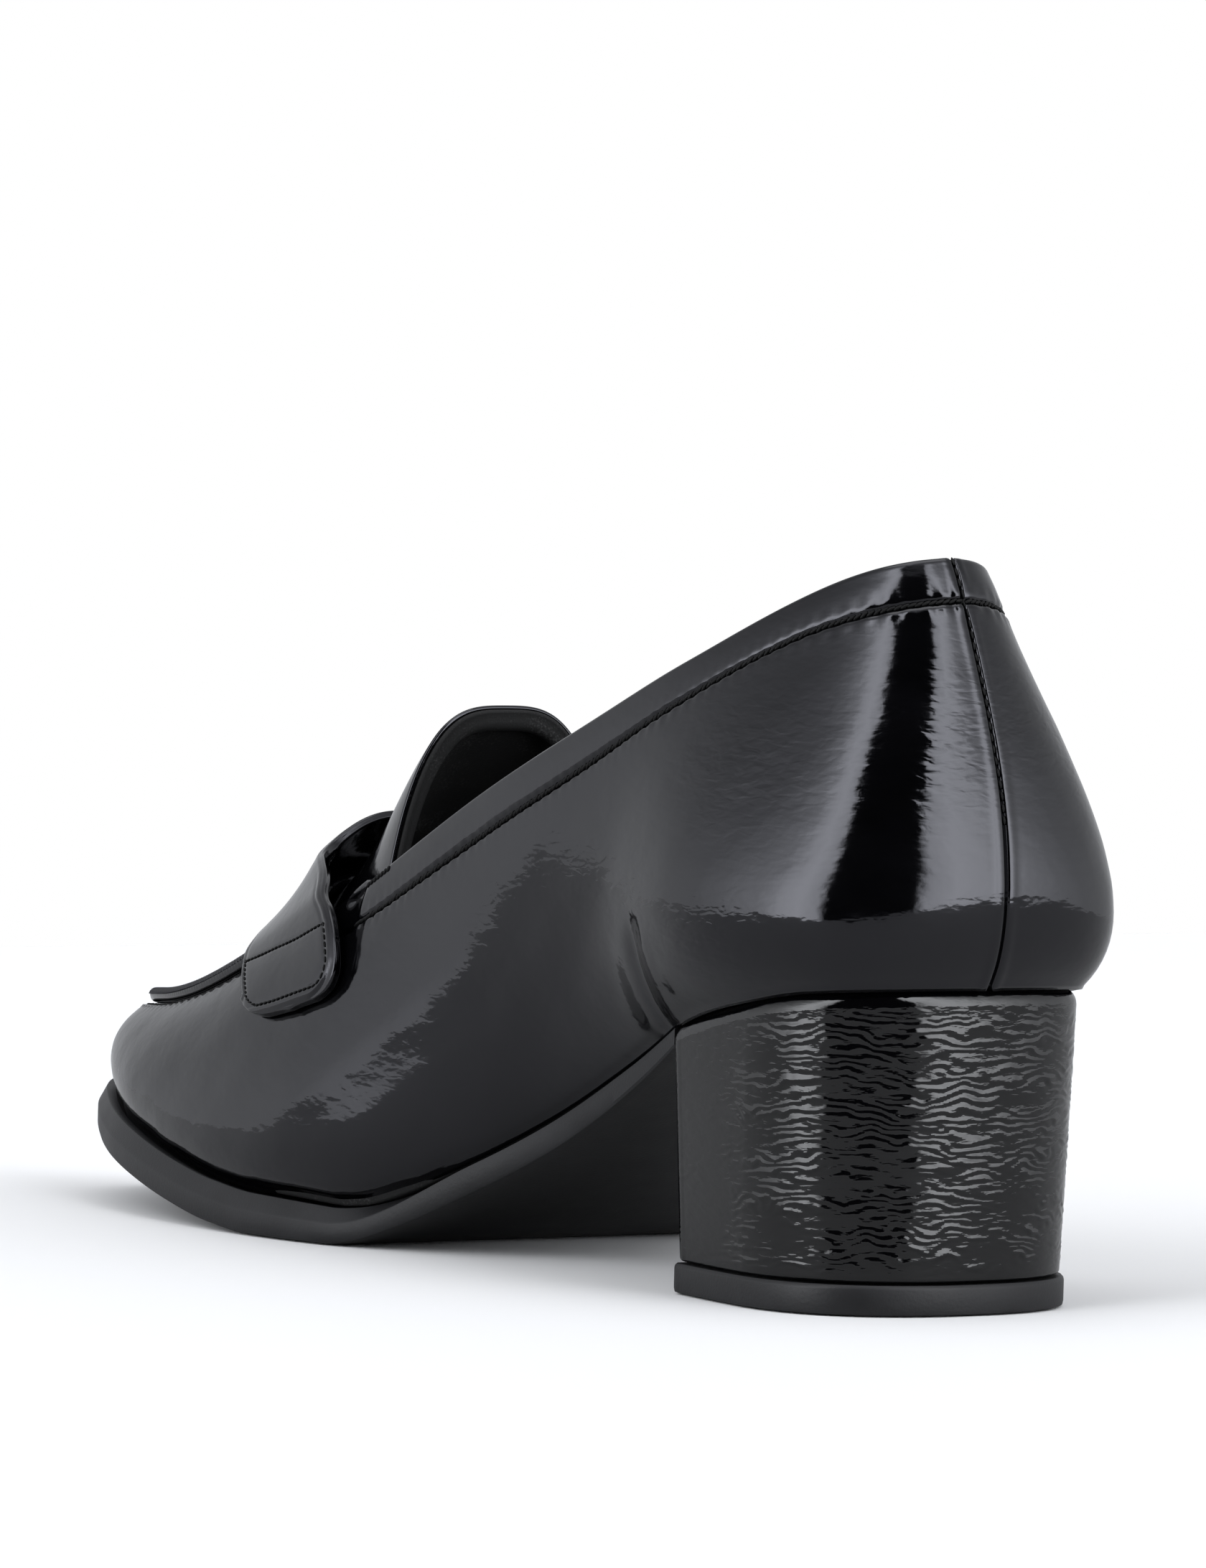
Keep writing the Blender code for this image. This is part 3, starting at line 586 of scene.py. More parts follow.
# Patterns in the gloss: how many of their features fit in a metre along x, y and z, and how deep they are
WRINKLE_SCALE = (300, 300, 820)
WRINKLE_LEAN = 0.5  # radians
RIPPLE_SCALE = (420, 420, 700)
PORE_SCALE = (3200, 3200, 3200)
PORE_DEPTH = 0.0000016
WAVE_SCALE = (110, 110, 190)
WAVE_DEPTH = 0.00008
SMEAR_SCALE = (60, 60, 90)
CRINKLE_SCALE = (300, 300, 1150)


def gloss_over(add, looks, height, distance):
    """Fine wrinkles of the gloss, stronger where the piece's own attribute says, over a coarser relief."""
    creased = add("ShaderNodeAttribute", attribute_name="wrinkled")
    place = add("ShaderNodeTexCoord")
    leaning = add(
        "ShaderNodeMapping",
        {"Vector": place.outputs["Object"], "Rotation": (WRINKLE_LEAN, 0.0, 0.0), "Scale": WRINKLE_SCALE},
    )
    streaks = add(
        "ShaderNodeTexNoise",
        {
            "Vector": leaning.outputs["Vector"],
            "Scale": 1.0,
            "Detail": 1.5,
            "Roughness": 0.5,
            "Distortion": 0.5,
        },
    )
    ripples = stretched_noise(add, RIPPLE_SCALE, 1.5)
    pores = stretched_noise(add, PORE_SCALE, 1.0)
    wrinkles = add(
        "ShaderNodeMath", {0: streaks.outputs["Fac"], 1: creased.outputs["Fac"]}, operation="MULTIPLY"
    )
    normal = bumped(add, height, distance)
    normal = bumped(add, ripples.outputs["Fac"], looks.patent_ripple, under=normal)
    normal = bumped(add, wrinkles.outputs[0], looks.patent_wrinkle, under=normal)
    return bumped(add, pores.outputs["Fac"], PORE_DEPTH, under=normal)


def shades(colour, dark, light):
    """Two colours, made darker and lighter than the given one."""
    return [c * dark for c in colour], [c * light for c in colour]


def patent_material(looks):
    even = looks.patent_roughness
    made, shader, add = start_material(
        "patent_leather", looks.patent_colour, even, IOR=1.5, Specular_Tint=PATENT_TINT
    )
    link = made.node_tree.links.new
    waves = stretched_noise(add, WAVE_SCALE, 2.0).outputs["Fac"]
    smears = stretched_noise(add, SMEAR_SCALE, 3.0).outputs["Fac"]
    link(gloss_over(add, looks, waves, WAVE_DEPTH), shader.inputs["Normal"])
    link(value_between(add, smears, even * 0.5, even * 1.5), shader.inputs["Roughness"])
    ends = shades(looks.patent_colour, 0.7, 1.3)
    link(colour_between(add, smears, 0.35, 0.65, *ends), shader.inputs["Base Color"])
    return made


def crinkle_material(looks):
    made, shader, add = start_material("crinkled_patent", looks.patent_colour, 0.06, IOR=1.5)
    link = made.node_tree.links.new
    waves = stretched_noise(add, CRINKLE_SCALE, 2.0, distortion=0.4)
    link(gloss_over(add, looks, waves.outputs["Fac"], looks.crinkle_depth), shader.inputs["Normal"])
    link(value_between(add, waves.outputs["Fac"], 0.03, 0.10), shader.inputs["Roughness"])
    return made


def lining_material(looks):
    made, shader, add = start_material("black_lining", looks.lining_colour, 0.85, IOR=1.4)
    link = made.node_tree.links.new
    grain = stretched_noise(add, (2600, 2600, 2600), 2.0)
    patches = stretched_noise(add, (140, 140, 140), 4.0)
    speck = add("ShaderNodeMath", {0: grain.outputs["Fac"], 1: patches.outputs["Fac"]}, operation="MULTIPLY")
    ends = shades(looks.lining_colour, 1.0, 7.0)
    link(colour_between(add, speck.outputs["Value"], 0.30, 0.46, *ends), shader.inputs["Base Color"])
    link(bumped(add, grain.outputs["Fac"], 0.00006), shader.inputs["Normal"])
    link(value_between(add, patches.outputs["Fac"], 0.65, 0.95), shader.inputs["Roughness"])
    return made


def rubber_material(looks):
    made, shader, add = start_material(
        "black_rubber", looks.rubber_colour, 0.6, IOR=1.45, Specular_IOR_Level=0.36
    )
    link = made.node_tree.links.new
    grain = stretched_noise(add, (1900, 1900, 1900), 3.0)
    scuffs = stretched_noise(add, (90, 90, 160), 4.0)
    link(bumped(add, grain.outputs["Fac"], 0.00003), shader.inputs["Normal"])
    ends = shades(looks.rubber_colour, 0.75, 1.35)
    link(colour_between(add, scuffs.outputs["Fac"], 0.3, 0.7, *ends), shader.inputs["Base Color"])
    link(value_between(add, scuffs.outputs["Fac"], 0.34, 0.54), shader.inputs["Roughness"])
    return made


def thread_material(looks):
    made, shader, add = start_material(
        "waxed_thread", looks.thread_colour, 0.6, IOR=1.45, Specular_IOR_Level=0.22
    )
    link = made.node_tree.links.new
    fibres = stretched_noise(add, (5200, 5200, 5200), 2.0)
    link(bumped(add, fibres.outputs["Fac"], 0.00004), shader.inputs["Normal"])
    link(value_between(add, fibres.outputs["Fac"], 0.42, 0.8), shader.inputs["Roughness"])
    return made


MATERIALS = {
    "patent": patent_material,
    "crinkle": crinkle_material,
    "lining": lining_material,
    "rubber": rubber_material,
    "thread": thread_material,
}
MADE = {}


def look(name):
    """The material of that name, made at its first use."""
    if name not in MADE:
        MADE[name] = MATERIALS[name](bpy.context.scene.loafer_looks)
    return MADE[name]


# Pieces


def add_piece(name, mesh, stands_for=()):
    """Piece of the shoe, with the CAD nodes that it stands for."""
    piece = bpy.data.objects.new(name, mesh)
    bpy.context.scene.collection.objects.link(piece)
    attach(piece, "root")
    if stands_for:
        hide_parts(*stands_for)
    return piece


def solid_mesh(name, points, faces, material, sharp=None):
    """Mesh of a closed solid, its faces outwards, with edges sharper than an angle in degrees kept sharp."""
    mesh = bpy.data.meshes.new(name)
    mesh.from_pydata(world(points).reshape(-1, 3).tolist(), [], np.asarray(faces).tolist())
    shape = bmesh.new()
    shape.from_mesh(mesh)
    bmesh.ops.remove_doubles(shape, verts=shape.verts, dist=1e-6)
    bmesh.ops.dissolve_degenerate(shape, dist=1e-6, edges=shape.edges)
    bmesh.ops.recalc_face_normals(shape, faces=shape.faces)
    shape.to_mesh(mesh)
    shape.free()
    mesh.shade_smooth()
    if sharp is not None:
        mesh.set_sharp_from_angle(angle=np.radians(sharp))
    mesh.materials.append(look(material))
    return mesh


def sheet_solid(name, outer, inner, material, steps=6, bulge=1.0, parting=0.0):
    """Closed solid between two grids of points, with a rounded rim that may be parted along its middle."""
    rows, columns = outer.shape[:2]
    order = (
        [(0, c) for c in range(columns - 1)]
        + [(r, columns - 1) for r in range(rows - 1)]
        + [(rows - 1, c) for c in range(columns - 1, 0, -1)]
        + [(r, 0) for r in range(rows - 1, 0, -1)]
    )
    r, c = np.array(order).T
    near_r, near_c = np.clip(r, 1, rows - 2), np.clip(c, 1, columns - 2)
    middle = (outer[r, c] + inner[r, c]) / 2
    half = (outer[r, c] - inner[r, c]) / 2
    away = middle - (outer[near_r, near_c] + inner[near_r, near_c]) / 2
    up = unit(half)
    away = unit(away - up * np.sum(away * up, axis=1, keepdims=True))
    size = np.linalg.norm(half, axis=1, keepdims=True)
    layers = [outer[r, c]]
    for angle in np.linspace(0, np.pi, steps + 1)[1:-1]:
        pinch = 1 - parting * bump(angle - 0.55 * np.pi, 0.16 * np.pi)
        layers.append(middle + half * np.cos(angle) + away * size * bulge * np.sin(angle) * pinch)
    layers.append(inner[r, c])
    total = rows * columns
    rim = np.array(layers[1:-1])
    points = np.concatenate([outer.reshape(-1, 3), inner.reshape(-1, 3), rim.reshape(-1, 3)])
    faces = grid_faces(rows, columns)
    count = len(order)
    first = r * columns + c
    strips = [first] + [2 * total + k * count + np.arange(count) for k in range(len(rim))] + [first + total]
    sides = [np.stack([a, np.roll(a, -1), np.roll(b, -1), b], axis=1) for a, b in zip(strips, strips[1:])]
    faces = np.concatenate([faces, faces[:, ::-1] + total, *sides])
    return solid_mesh(name, points, faces, material)


def ring_faces(rows, columns):
    """Faces through rings of points, capped by strips that pair both sides of the first and last ring."""
    i = np.arange(columns // 2 - 1)
    cap = np.stack([i, i + 1, columns - 2 - i, columns - 1 - i], axis=1)
    return np.concatenate([grid_faces(rows, columns, column_ring=True), cap, cap + (rows - 1) * columns])


def ring_solid(name, rings, material, sharp=30):
    """Closed solid through rings of equal count."""
    rings = np.array(rings)
    return solid_mesh(name, rings, ring_faces(*rings.shape[:2]), material, sharp)


# Upper


def even_turns():
    """Places round the loop at an even spacing, closer together at the back seam."""
    fine = np.linspace(0, COUNT, 12001)
    steps = np.linalg.norm(np.diff(wall(fine, 0.6), axis=0), axis=1)
    middle = (fine[1:] + fine[:-1]) / 2
    from_back = np.minimum(middle, COUNT - middle)
    spacing = np.select([from_back < 0.055, from_back < 0.22], ROW_SPACING[:2], ROW_SPACING[2])
    travelled = np.concatenate([[0], np.cumsum(steps / spacing)])
    count = int(np.ceil(travelled[-1]))
    return np.interp(np.linspace(0, travelled[-1], count, endpoint=False), travelled, fine)


class Upper:
    """High resolution grid of the upper's outside: a row for each place on the loop, from the edge down."""

    def __init__(self, sizes):
        edge = WALL / 2
        seam = sizes.collar_seam
        self.depths = np.concatenate(
            [
                [edge, edge * 1.5, 0.0019, 0.0024, 0.0030, 0.0037, 0.0045],
                seam + np.array([-21, -15, -11, -8, -6, -4, -2, 0, 2, 4, 6, 8, 11, 15, 20, 27]) * 1e-4,
                seam + np.array([0.0036, 0.0047, 0.0060]),
            ]
        )
        share = np.linspace(0, 1, 36)[1:]
        self.turns = even_turns()
        parts = np.linspace(1, 0, 161)
        run = run_below(wall(self.turns[:, None], parts[None, :]))
        last = self.depths[-1]
        self.below = np.array(
            [np.concatenate([self.depths, last + share * (total - last)]) for total in run[:, -1]]
        )
        placed = np.array([np.interp(d, line, parts) for d, line in zip(self.below, run)])
        grid = wall(self.turns[:, None], placed)
        outward = grid_normals(grid, ring=True)
        top = top_edge(self.turns)
        steps = np.linalg.norm(np.diff(top, axis=0, append=top[:1]), axis=1)
        self.travel = np.concatenate([[0], np.cumsum(steps)[:-1]])[:, None]
        self.side = np.where(self.turns < LAST_RIB, 1, -1)[:, None]
        rib = np.minimum(self.turns, COUNT - self.turns)[:, None]
        corner = rib_at(TOP_ALONG, THROAT)
        self.open_top = 1 - smooth(corner - 0.9, corner - 0.1, rib)
        self.at_seam = smooth(corner - 0.2, corner + 0.3, rib)
        self.grid = grid + outward * self.relief(grid, sizes)[..., None]
        self.normal = grid_normals(self.grid, ring=True)

    def relief(self, grid, sizes):
        """How far the leather stands proud of the plain wall."""
        along, out, height = grid[..., 0], grid[..., 1], grid[..., 2]
        push = self.collar_relief(sizes) + self.back_relief(along, out, sizes) + self.ridge_relief(sizes)
        push += self.crease_relief(along, height)
        push += self.wave_relief(grid, sizes)
        push -= self.quarter_step(along, sizes)
        return push - self.turned_under(along, out)

    def collar_relief(self, sizes):
        """Groove of the collar's seam, the swell above it and the puckers on both sides."""
        below, seam = self.below, sizes.collar_seam
        push = -sizes.seam_groove * bump(below - seam, 0.00062)
        push += SEAM_SWELL * np.sin(np.pi * np.clip(below / seam, 0, 1)) ** 2
        pucker = np.sin(2 * np.pi * self.travel / sizes.pucker_spacing + 1.3 * np.sin(self.travel * 190))
        push += PUCKER_BELOW * pucker * bump(below - seam - 0.0012, 0.0011)
        push += PUCKER_ABOVE * pucker * bump(below - seam + 0.0012, 0.0009)
        return self.open_top * push

    def back_relief(self, along, out, sizes):
        """Groove of the seam down the back, and the swell on both sides."""
        at_back = smooth(0.06, 0.05, along / LENGTH - 0.02) * (np.abs(out) < 0.012)
        push = SEAM_SWELL * bump(np.abs(out) - 0.0012, 0.0008) - sizes.back_groove * bump(out, 0.00026)
        return at_back * push

    def ridge_relief(self, sizes):
        """Trough under the ridge round the apron, and the pull of its stitches."""
        ribbed = np.cos(2 * np.pi * self.travel / sizes.whip_spacing)
        push = RIDGE_PULL * (1.4 + ribbed) * bump(self.below - 0.0029, 0.0006)
        return self.at_seam * (push - RIDGE_TROUGH * bump(self.below - 0.0014, 0.0008))

    def crease_relief(self, along, height):
        """Troughs and ridges of the table of creases."""
        push = np.zeros_like(along)
        for side, along_0, height_0, along_1, height_1, width, depth in CREASES:
            start = np.array([along_0, height_0]) / 1000
            run = np.array([along_1, height_1]) / 1000 - start
            part = ((along - start[0]) * run[0] + (height - start[1]) * run[1]) / np.sum(run**2)
            held = np.clip(part, 0, 1)
            distance = np.hypot(along - start[0] - held * run[0], height - start[1] - held * run[1])
            push += (self.side == side) * depth / 1000 * bump(distance, width / 1000)
        return push

    def wave_relief(self, grid, sizes):
        """Slow waves of the leather, which fade out at both edges."""
        along, height = grid[..., 0], grid[..., 2]
        waves = (
            np.sin(along * 210 + height * 95 + 0.6 * self.side)
            + np.sin(along * 122 - height * 240 + 2.1)
            + 0.6 * np.sin(along * 415 + height * 310 + 1.1 * self.side)
        )
        waves += 1.1 * lattice_noise(grid * (210, 210, 330), 21)
        fade = smooth(0.0, 0.008, self.below) * smooth(0.0, 0.006, self.below[:, -1:] - self.below)
        return sizes.lumps * waves * fade

    def quarter_step(self, along, sizes):
        """Depth of the vamp just ahead of the quarter's front edge."""
        ahead = along - sizes.quarter_front
        front = smooth(0.0, 0.0006, ahead) * (1 - smooth(0.004, 0.008, ahead))
        in_band = smooth(0.0005, 0.0015, self.below) * (1 - smooth(0.0080, 0.0092, self.below))
        return QUARTER_STEP * front * in_band

    def turned_under(self, along, out):
        """How far the wall is drawn in just above the sole, most beside the ledge behind the ball."""
        ledge = smooth(0.108, 0.128, along)
        over_sole = (0.4 * smooth(0.05, 0.06, along) + 0.6 * ledge) * (1 - 0.7 * smooth(0.14, 0.17, along))
        uneven = 1 + 0.25 * lattice_noise(np.stack([along * 260, out * 120, 0 * out], axis=-1), 8)
        tucked = (0.0012 + 0.0012 * ledge * (1 - 0.6 * smooth(0.14, 0.18, along))) * uneven
        from_sole = self.below[:, -1:] - self.below
        return TURNED_UNDER * over_sole * (1 - smooth(0.0, 1.0, from_sole / tucked)) ** 0.7

    def line(self, start, end, below, lift=0.0):
        """Points and normals along the loop at a depth below the edge, from one turn to another."""
        order = (self.turns - start) % COUNT
        span = (end - start) % COUNT
        rows = np.argsort(order)
        rows = rows[order[rows] <= span]
        points, normals = [], []
        for row in rows:
            column = np.interp(below, self.below[row], np.arange(self.below.shape[1]))
            low = int(min(column, self.below.shape[1] - 2))
            part = column - low
            normal = self.normal[row, low] * (1 - part) + self.normal[row, low + 1] * part
            points.append(self.grid[row, low] * (1 - part) + self.grid[row, low + 1] * part + normal * lift)
            normals.append(normal)
        return np.array(points), np.array(normals)


# Wrinkled patches: side, along and height of the middle, reach along and up in millimetres, strength
WRINKLED_PATCHES = (
    (1, 2.0, 92.0, 7.0, 16.0, 0.8),
    (1, 30.0, 58.0, 14.0, 7.0, 0.9),
    (1, 30.0, 84.0, 16.0, 12.0, 0.8),
    (1, 60.0, 66.0, 24.0, 10.0, 0.4),
    (1, 120.0, 34.0, 18.0, 10.0, 0.22),
    (1, 96.0, 48.0, 18.0, 10.0, 0.26),
    (-1, 8.0, 90.0, 10.0, 14.0, 0.7),
    (-1, 40.0, 70.0, 24.0, 14.0, 0.5),
    (-1, 110.0, 44.0, 26.0, 12.0, 0.35),
)

SHARED = {}


def upper():
    """The upper's grid, made at its first use."""
    if "upper" not in SHARED:
        SHARED["upper"] = Upper(bpy.context.scene.loafer_sizes)
    return SHARED["upper"]


def edge_arc(shape, radius, steps):
    """Half round over the top edge, from the outside to the inside."""
    top, normal = shape.grid[:, 0], shape.normal[:, 0]
    up = unit(shape.grid[:, 0] - shape.grid[:, 1])
    centre = top - normal * radius
    angles = np.linspace(0, np.pi, steps + 1)[1:-1]
    return np.stack([centre + normal * radius * np.cos(a) + up * radius * np.sin(a) for a in angles], axis=1)


def inside(shape, columns, depth):
    """Columns of the upper's grid, moved into the leather."""
    return shape.grid[:, columns] - shape.normal[:, columns] * depth


def paint_wrinkles(mesh):
    """Keeps, point by point, how strongly the gloss wrinkles there."""
    flat = np.empty(len(mesh.vertices) * 3, np.float32)
    mesh.vertices.foreach_get("co", flat)
    x, y, height = flat.reshape(-1, 3).T
    along, out = HEEL_POINT[1] - y, x - HEEL_POINT[0]
    strength = np.full(len(x), EVEN_WRINKLES)
    for side, along_0, height_0, reach_along, reach_height, most in WRINKLED_PATCHES:
        spread = bump(along - along_0 / 1000, reach_along / 1000)
        spread = spread * bump(height - height_0 / 1000, reach_height / 1000)
        strength = np.maximum(strength, most * spread * (out * side > 0))
    layer = mesh.attributes.new("wrinkled", "FLOAT", "POINT")
    layer.data.foreach_set("value", strength.astype(np.float32))


def make_upper_leather(sizes):
    shape = upper()
    last = shape.grid.shape[1] - 1
    arc = edge_arc(shape, WALL / 2, 8)
    fold = inside(shape, np.arange(0, 7), WALL)
    step = inside(shape, np.array([8]), sizes.leather)
    inner = inside(shape, np.linspace(10, last, 16).astype(int), sizes.leather)
    tuck = inside(shape, np.array([last]), sizes.leather)
    tuck[..., 2] -= WALL_FOOT
    under = shape.grid[:, [last]] - shape.normal[:, [last]] * 0.0004
    under[..., 2] -= WALL_FOOT
    section = np.concatenate([shape.grid[:, ::-1], arc, fold, step, inner, tuck, under], axis=1)
    faces = grid_faces(*section.shape[:2], row_ring=True, column_ring=True)
    mesh = solid_mesh("upper_leather", section, faces, "patent")
    paint_wrinkles(mesh)
    return add_piece("upper_leather", mesh, ["upper"])


def make_upper_lining(sizes):
    shape = upper()
    last = shape.grid.shape[1] - 1
    columns = np.concatenate([np.arange(8, 24, 3), np.linspace(26, last, 12).astype(int)])
    outer = inside(shape, columns, sizes.leather + 0.00005)
    inner = inside(shape, columns, WALL + 0.0002)
    edge = (outer[:, :1] + inner[:, :1]) / 2 + unit(outer[:, :1] - outer[:, 1:2]) * 0.0004
    section = np.concatenate([outer, inner[:, ::-1], edge], axis=1)
    faces = grid_faces(*section.shape[:2], row_ring=True, column_ring=True)
    mesh = solid_mesh("upper_lining", section, faces, "lining")
    return add_piece("upper_lining", mesh)


def make_apron_leather():
    across = np.sin(np.linspace(np.pi / 2, -np.pi / 2, 61))
    step = np.linspace(0, 1, 101)[:, None]
    hidden = APRON_HIDDEN * (1 - across**2)
    rear = rib_at(TOP_ALONG, loop_at(apron_rear(across))[:, TOP_ALONG] + hidden)[None, :]
    rib = rear + (LAST_RIB - 0.02 - rear) * step
    grid = apron(rib, across[None, :] * np.ones_like(step))
    normal = grid_normals(grid)
    normal = normal * np.sign(normal[50, 30, 2])
    inward = 1 - np.abs(across[None, :])
    waves = 0.00008 * np.sin(grid[..., 0] * 300) * np.sin(grid[..., 1] * 260)
    push = 0.00025 * bump(inward - 0.10, 0.08) + waves
    grid = grid + normal * push[..., None]
    mesh = sheet_solid("apron_leather", grid, grid - normal * WALL, "patent", steps=4, bulge=0.3)
    return add_piece("apron_leather", mesh)


def ridge_line():
    """Places on the loop along the pinched ridge round the apron, and how far along it they lie."""
    start = rib_at(TOP_ALONG, strap_edges(STRAP_ON_APRON)[1] - 0.004)
    fine = np.linspace(start, COUNT - start, 3001)
    run = np.concatenate([[0], np.cumsum(np.linalg.norm(np.diff(top_edge(fine), axis=0), axis=1))])
    count = int(run[-1] / 0.0003)
    turns = np.interp(np.linspace(0, run[-1], count), run, fine)
    return turns, np.linspace(0, run[-1], count)


def ridge_centre(turns, sizes):
    """Middle of the ridge's section, and the directions out of the shoe there."""
    outward = feather(turns)[1]
    return top_edge(turns) + outward * RIDGE_OUT + UP * sizes.ridge_height * RIDGE_LIFT, outward


def make_apron_ridge(sizes):
    turns, run = ridge_line()
    centre, outward = ridge_centre(turns, sizes)
    angles = np.linspace(0, 2 * np.pi, 22, endpoint=False)
    wide = np.sign(np.cos(angles)) * np.abs(np.cos(angles)) ** 0.8 * sizes.ridge_width / 2
    tall = np.sign(np.sin(angles)) * np.abs(np.sin(angles)) ** 0.8 * sizes.ridge_height / 2
    ribs = np.cos(2 * np.pi * run / sizes.whip_spacing)[:, None]
    swell = 1 + 0.10 * ribs * smooth(-0.2, 0.8, np.sin(angles))[None, :]
    section = (
        centre[:, None]
        + outward[:, None] * (wide * swell)[..., None]
        + UP * (tall * swell)[..., None]
        + outward[:, None] * (tall * 0.18)[None, :, None]
    )
    mesh = ring_solid("apron_ridge", section, "patent", sharp=None)
    return add_piece("apron_ridge", mesh, ["apron_seam"])


# Strap and tongue


class Strap:
    """High resolution grid of the strap: rows from tab to tab, columns from its rear edge to its front."""

    def __init__(self, sizes):
        even = np.linspace(1, -1, 241)
        self.girth = 0.5 * np.sin(even * np.pi / 2) + 0.5 * even
        self.part = np.linspace(0, 1, 81)
        rear, front = strap_edges(self.girth)
        along = rear[:, None] + (front - rear)[:, None] * self.part
        base = on_upper(rib_at(TOP_ALONG, along), self.girth[:, None] * np.ones_like(along))
        for _ in range(6):
            base[1:-1] = (base[:-2] + 2 * base[1:-1] + base[2:]) / 4
        normal = grid_normals(base)
        normal = normal * np.sign(normal[120, 40, 2])
        stand = STRAP_REAR_LIFT * (1 - self.part) ** 2 * (1 - np.abs(self.girth[:, None]) ** STRAP_FLAT_POWER)
        self.under = base + normal * (GAP + 0.0001 + stand)[..., None]
        from_edge = inside_strap(self.girth[:, None] * np.ones_like(along), along)
        inset = sizes.strap_stitch_inset
        tab = smooth(STRAP_ON_APRON - 0.10, STRAP_ON_APRON, np.abs(self.girth))[:, None]
        push = -0.00016 * bump(from_edge - inset, STRAP_TROUGH) * tab
        cross = (np.abs(self.girth)[:, None] - self.cross(self.part)) * STRAP_GIRTH
        push -= 0.00014 * bump(cross, STRAP_TROUGH) * smooth(0, 0.0015, from_edge)
        push += 0.00005 * smooth(inset, inset * 2, from_edge) * smooth(0.0006, 0.003, np.abs(cross))
        push -= 0.00045 * (1 - smooth(0, 0.0011, from_edge)) ** 2
        self.top = self.under + normal * (STRAP_THICKNESS + push)[..., None]
        self.normal = normal

    @staticmethod
    def cross(part):
        """Girth at which the stitched line crosses each tab, along the apron's edge below."""
        return STRAP_CROSS_REAR - STRAP_CROSS_SLANT * part

    def at(self, girth, part, side):
        """Points and normals of the strap's top on one side of the foot."""
        row = np.interp(-side * girth, -self.girth, np.arange(len(self.girth)))
        column = np.interp(part, self.part, np.arange(len(self.part)))
        return sample(self.top, row, column), unit(sample(self.normal, row, column))

    def edge_line(self, side, inset):
        """Stitch line round a tab, from the cross seam on the rear edge to the one on the front edge."""
        corner = (STRAP_CORNER - inset) / STRAP_GIRTH
        end = 1 - inset / STRAP_GIRTH
        turn = end - corner * (1 - np.sin(np.linspace(0, np.pi / 2, 12)))
        rows = []
        for start, at_rear in ((self.cross(0.0), True), (self.cross(1.0), False)):
            girth = np.concatenate([np.linspace(start, turn[0], 40)[:-1], turn])
            line = strap_edges(girth, inset)[0 if at_rear else 1]
            rear, front = strap_edges(girth)
            rows.append(np.stack([girth, (line - rear) / (front - rear)], axis=1)[:: 1 if at_rear else -1])
        across = np.linspace(rows[0][-1], rows[1][0], 24)[1:-1]
        rows = np.concatenate([rows[0], across, rows[1]])
        return self.at(rows[:, 0], rows[:, 1], side)

    def cross_line(self, side):
        """Stitch line across a tab."""
        part = np.linspace(0.06, 0.95, 60)
        return self.at(self.cross(part), part, side)


def strap():
    """The strap's grid, made at its first use."""
    if "strap" not in SHARED:
        SHARED["strap"] = Strap(bpy.context.scene.loafer_sizes)
    return SHARED["strap"]


def make_saddle_strap():
    shape = strap()
    mesh = sheet_solid(
        "saddle_strap_leather", shape.top, shape.under, "patent", steps=10, bulge=0.8, parting=0.35
    )
    return add_piece("saddle_strap_leather", mesh, ["saddle_strap"])


def tongue_grid():
    """Outside of the tongue: rows from side to side, columns from under the apron to the free edge."""
    across = np.sin(np.linspace(np.pi / 2, -np.pi / 2, 121))
    share = across * TONGUE_SHARE
    rear = apron_rear(share)
    ahead = rib_at(TOP_ALONG, loop_at(rear)[:, TOP_ALONG] + TONGUE_TUCK)
    step = np.linspace(0, 1, 9)[:-1]
    ribs = ahead[:, None] + (rear - ahead)[:, None] * step
    tucked = under_apron(ribs, share[:, None] * np.ones_like(step))[0]
    start, back = under_apron(rear, share)
    end = tongue_edge(across)
    reach = np.linalg.norm(end - start, axis=1)[:, None] / 3
    arrive = np.array([-TONGUE_RISE[0], 0.0, TONGUE_RISE[1]])
    part = np.linspace(0, 1, 61)[None, :, None]
    free = bezier(
        start[:, None], (start + back * reach)[:, None], (end - arrive * reach)[:, None], end[:, None], part
    )
    return np.concatenate([tucked, free], axis=1)


def make_tongue(sizes):
    grid = tongue_grid()
    normal = grid_normals(grid)
    normal = normal * np.sign(normal[60, 30, 2])
    columns = grid.shape[1]
    run = run_below(grid)
    from_free = run[:, -1:] - run
    aside = np.linalg.norm(np.diff(grid, axis=0), axis=2)
    from_first = np.concatenate([np.zeros((1, columns)), np.cumsum(aside, axis=0)])
    from_side = np.minimum(from_first, from_first[-1:] - from_first)
    on_free_part = smooth(8, 14, np.arange(columns))[None, :]
    from_edges = np.minimum(from_free, from_side + 0.02 * (1 - on_free_part))
    from_rim = np.where(on_free_part > 0, from_edges, from_free)
    outer = grid - normal * 0.00005
    leather = sheet_solid("tongue_leather", outer, grid - normal * TONGUE_FACE, "patent")
    roll = sizes.tongue_roll
    swell = 0.0016 * np.sin(np.pi * np.clip(from_rim / roll, 0, 1)) ** 0.8
    swell -= 0.0004 * bump(from_rim - roll - 0.0003, 0.0005)
    inner = grid - normal * (TONGUE_THICKNESS - 0.0001 + swell)[..., None]
    lined = sheet_solid("tongue_lining", grid - normal * (TONGUE_FACE + 0.00005), inner, "lining", bulge=0.9)
    add_piece("tongue_leather", leather, ["tongue"])
    return add_piece("tongue_lining", lined)


# Sole, heel and insole


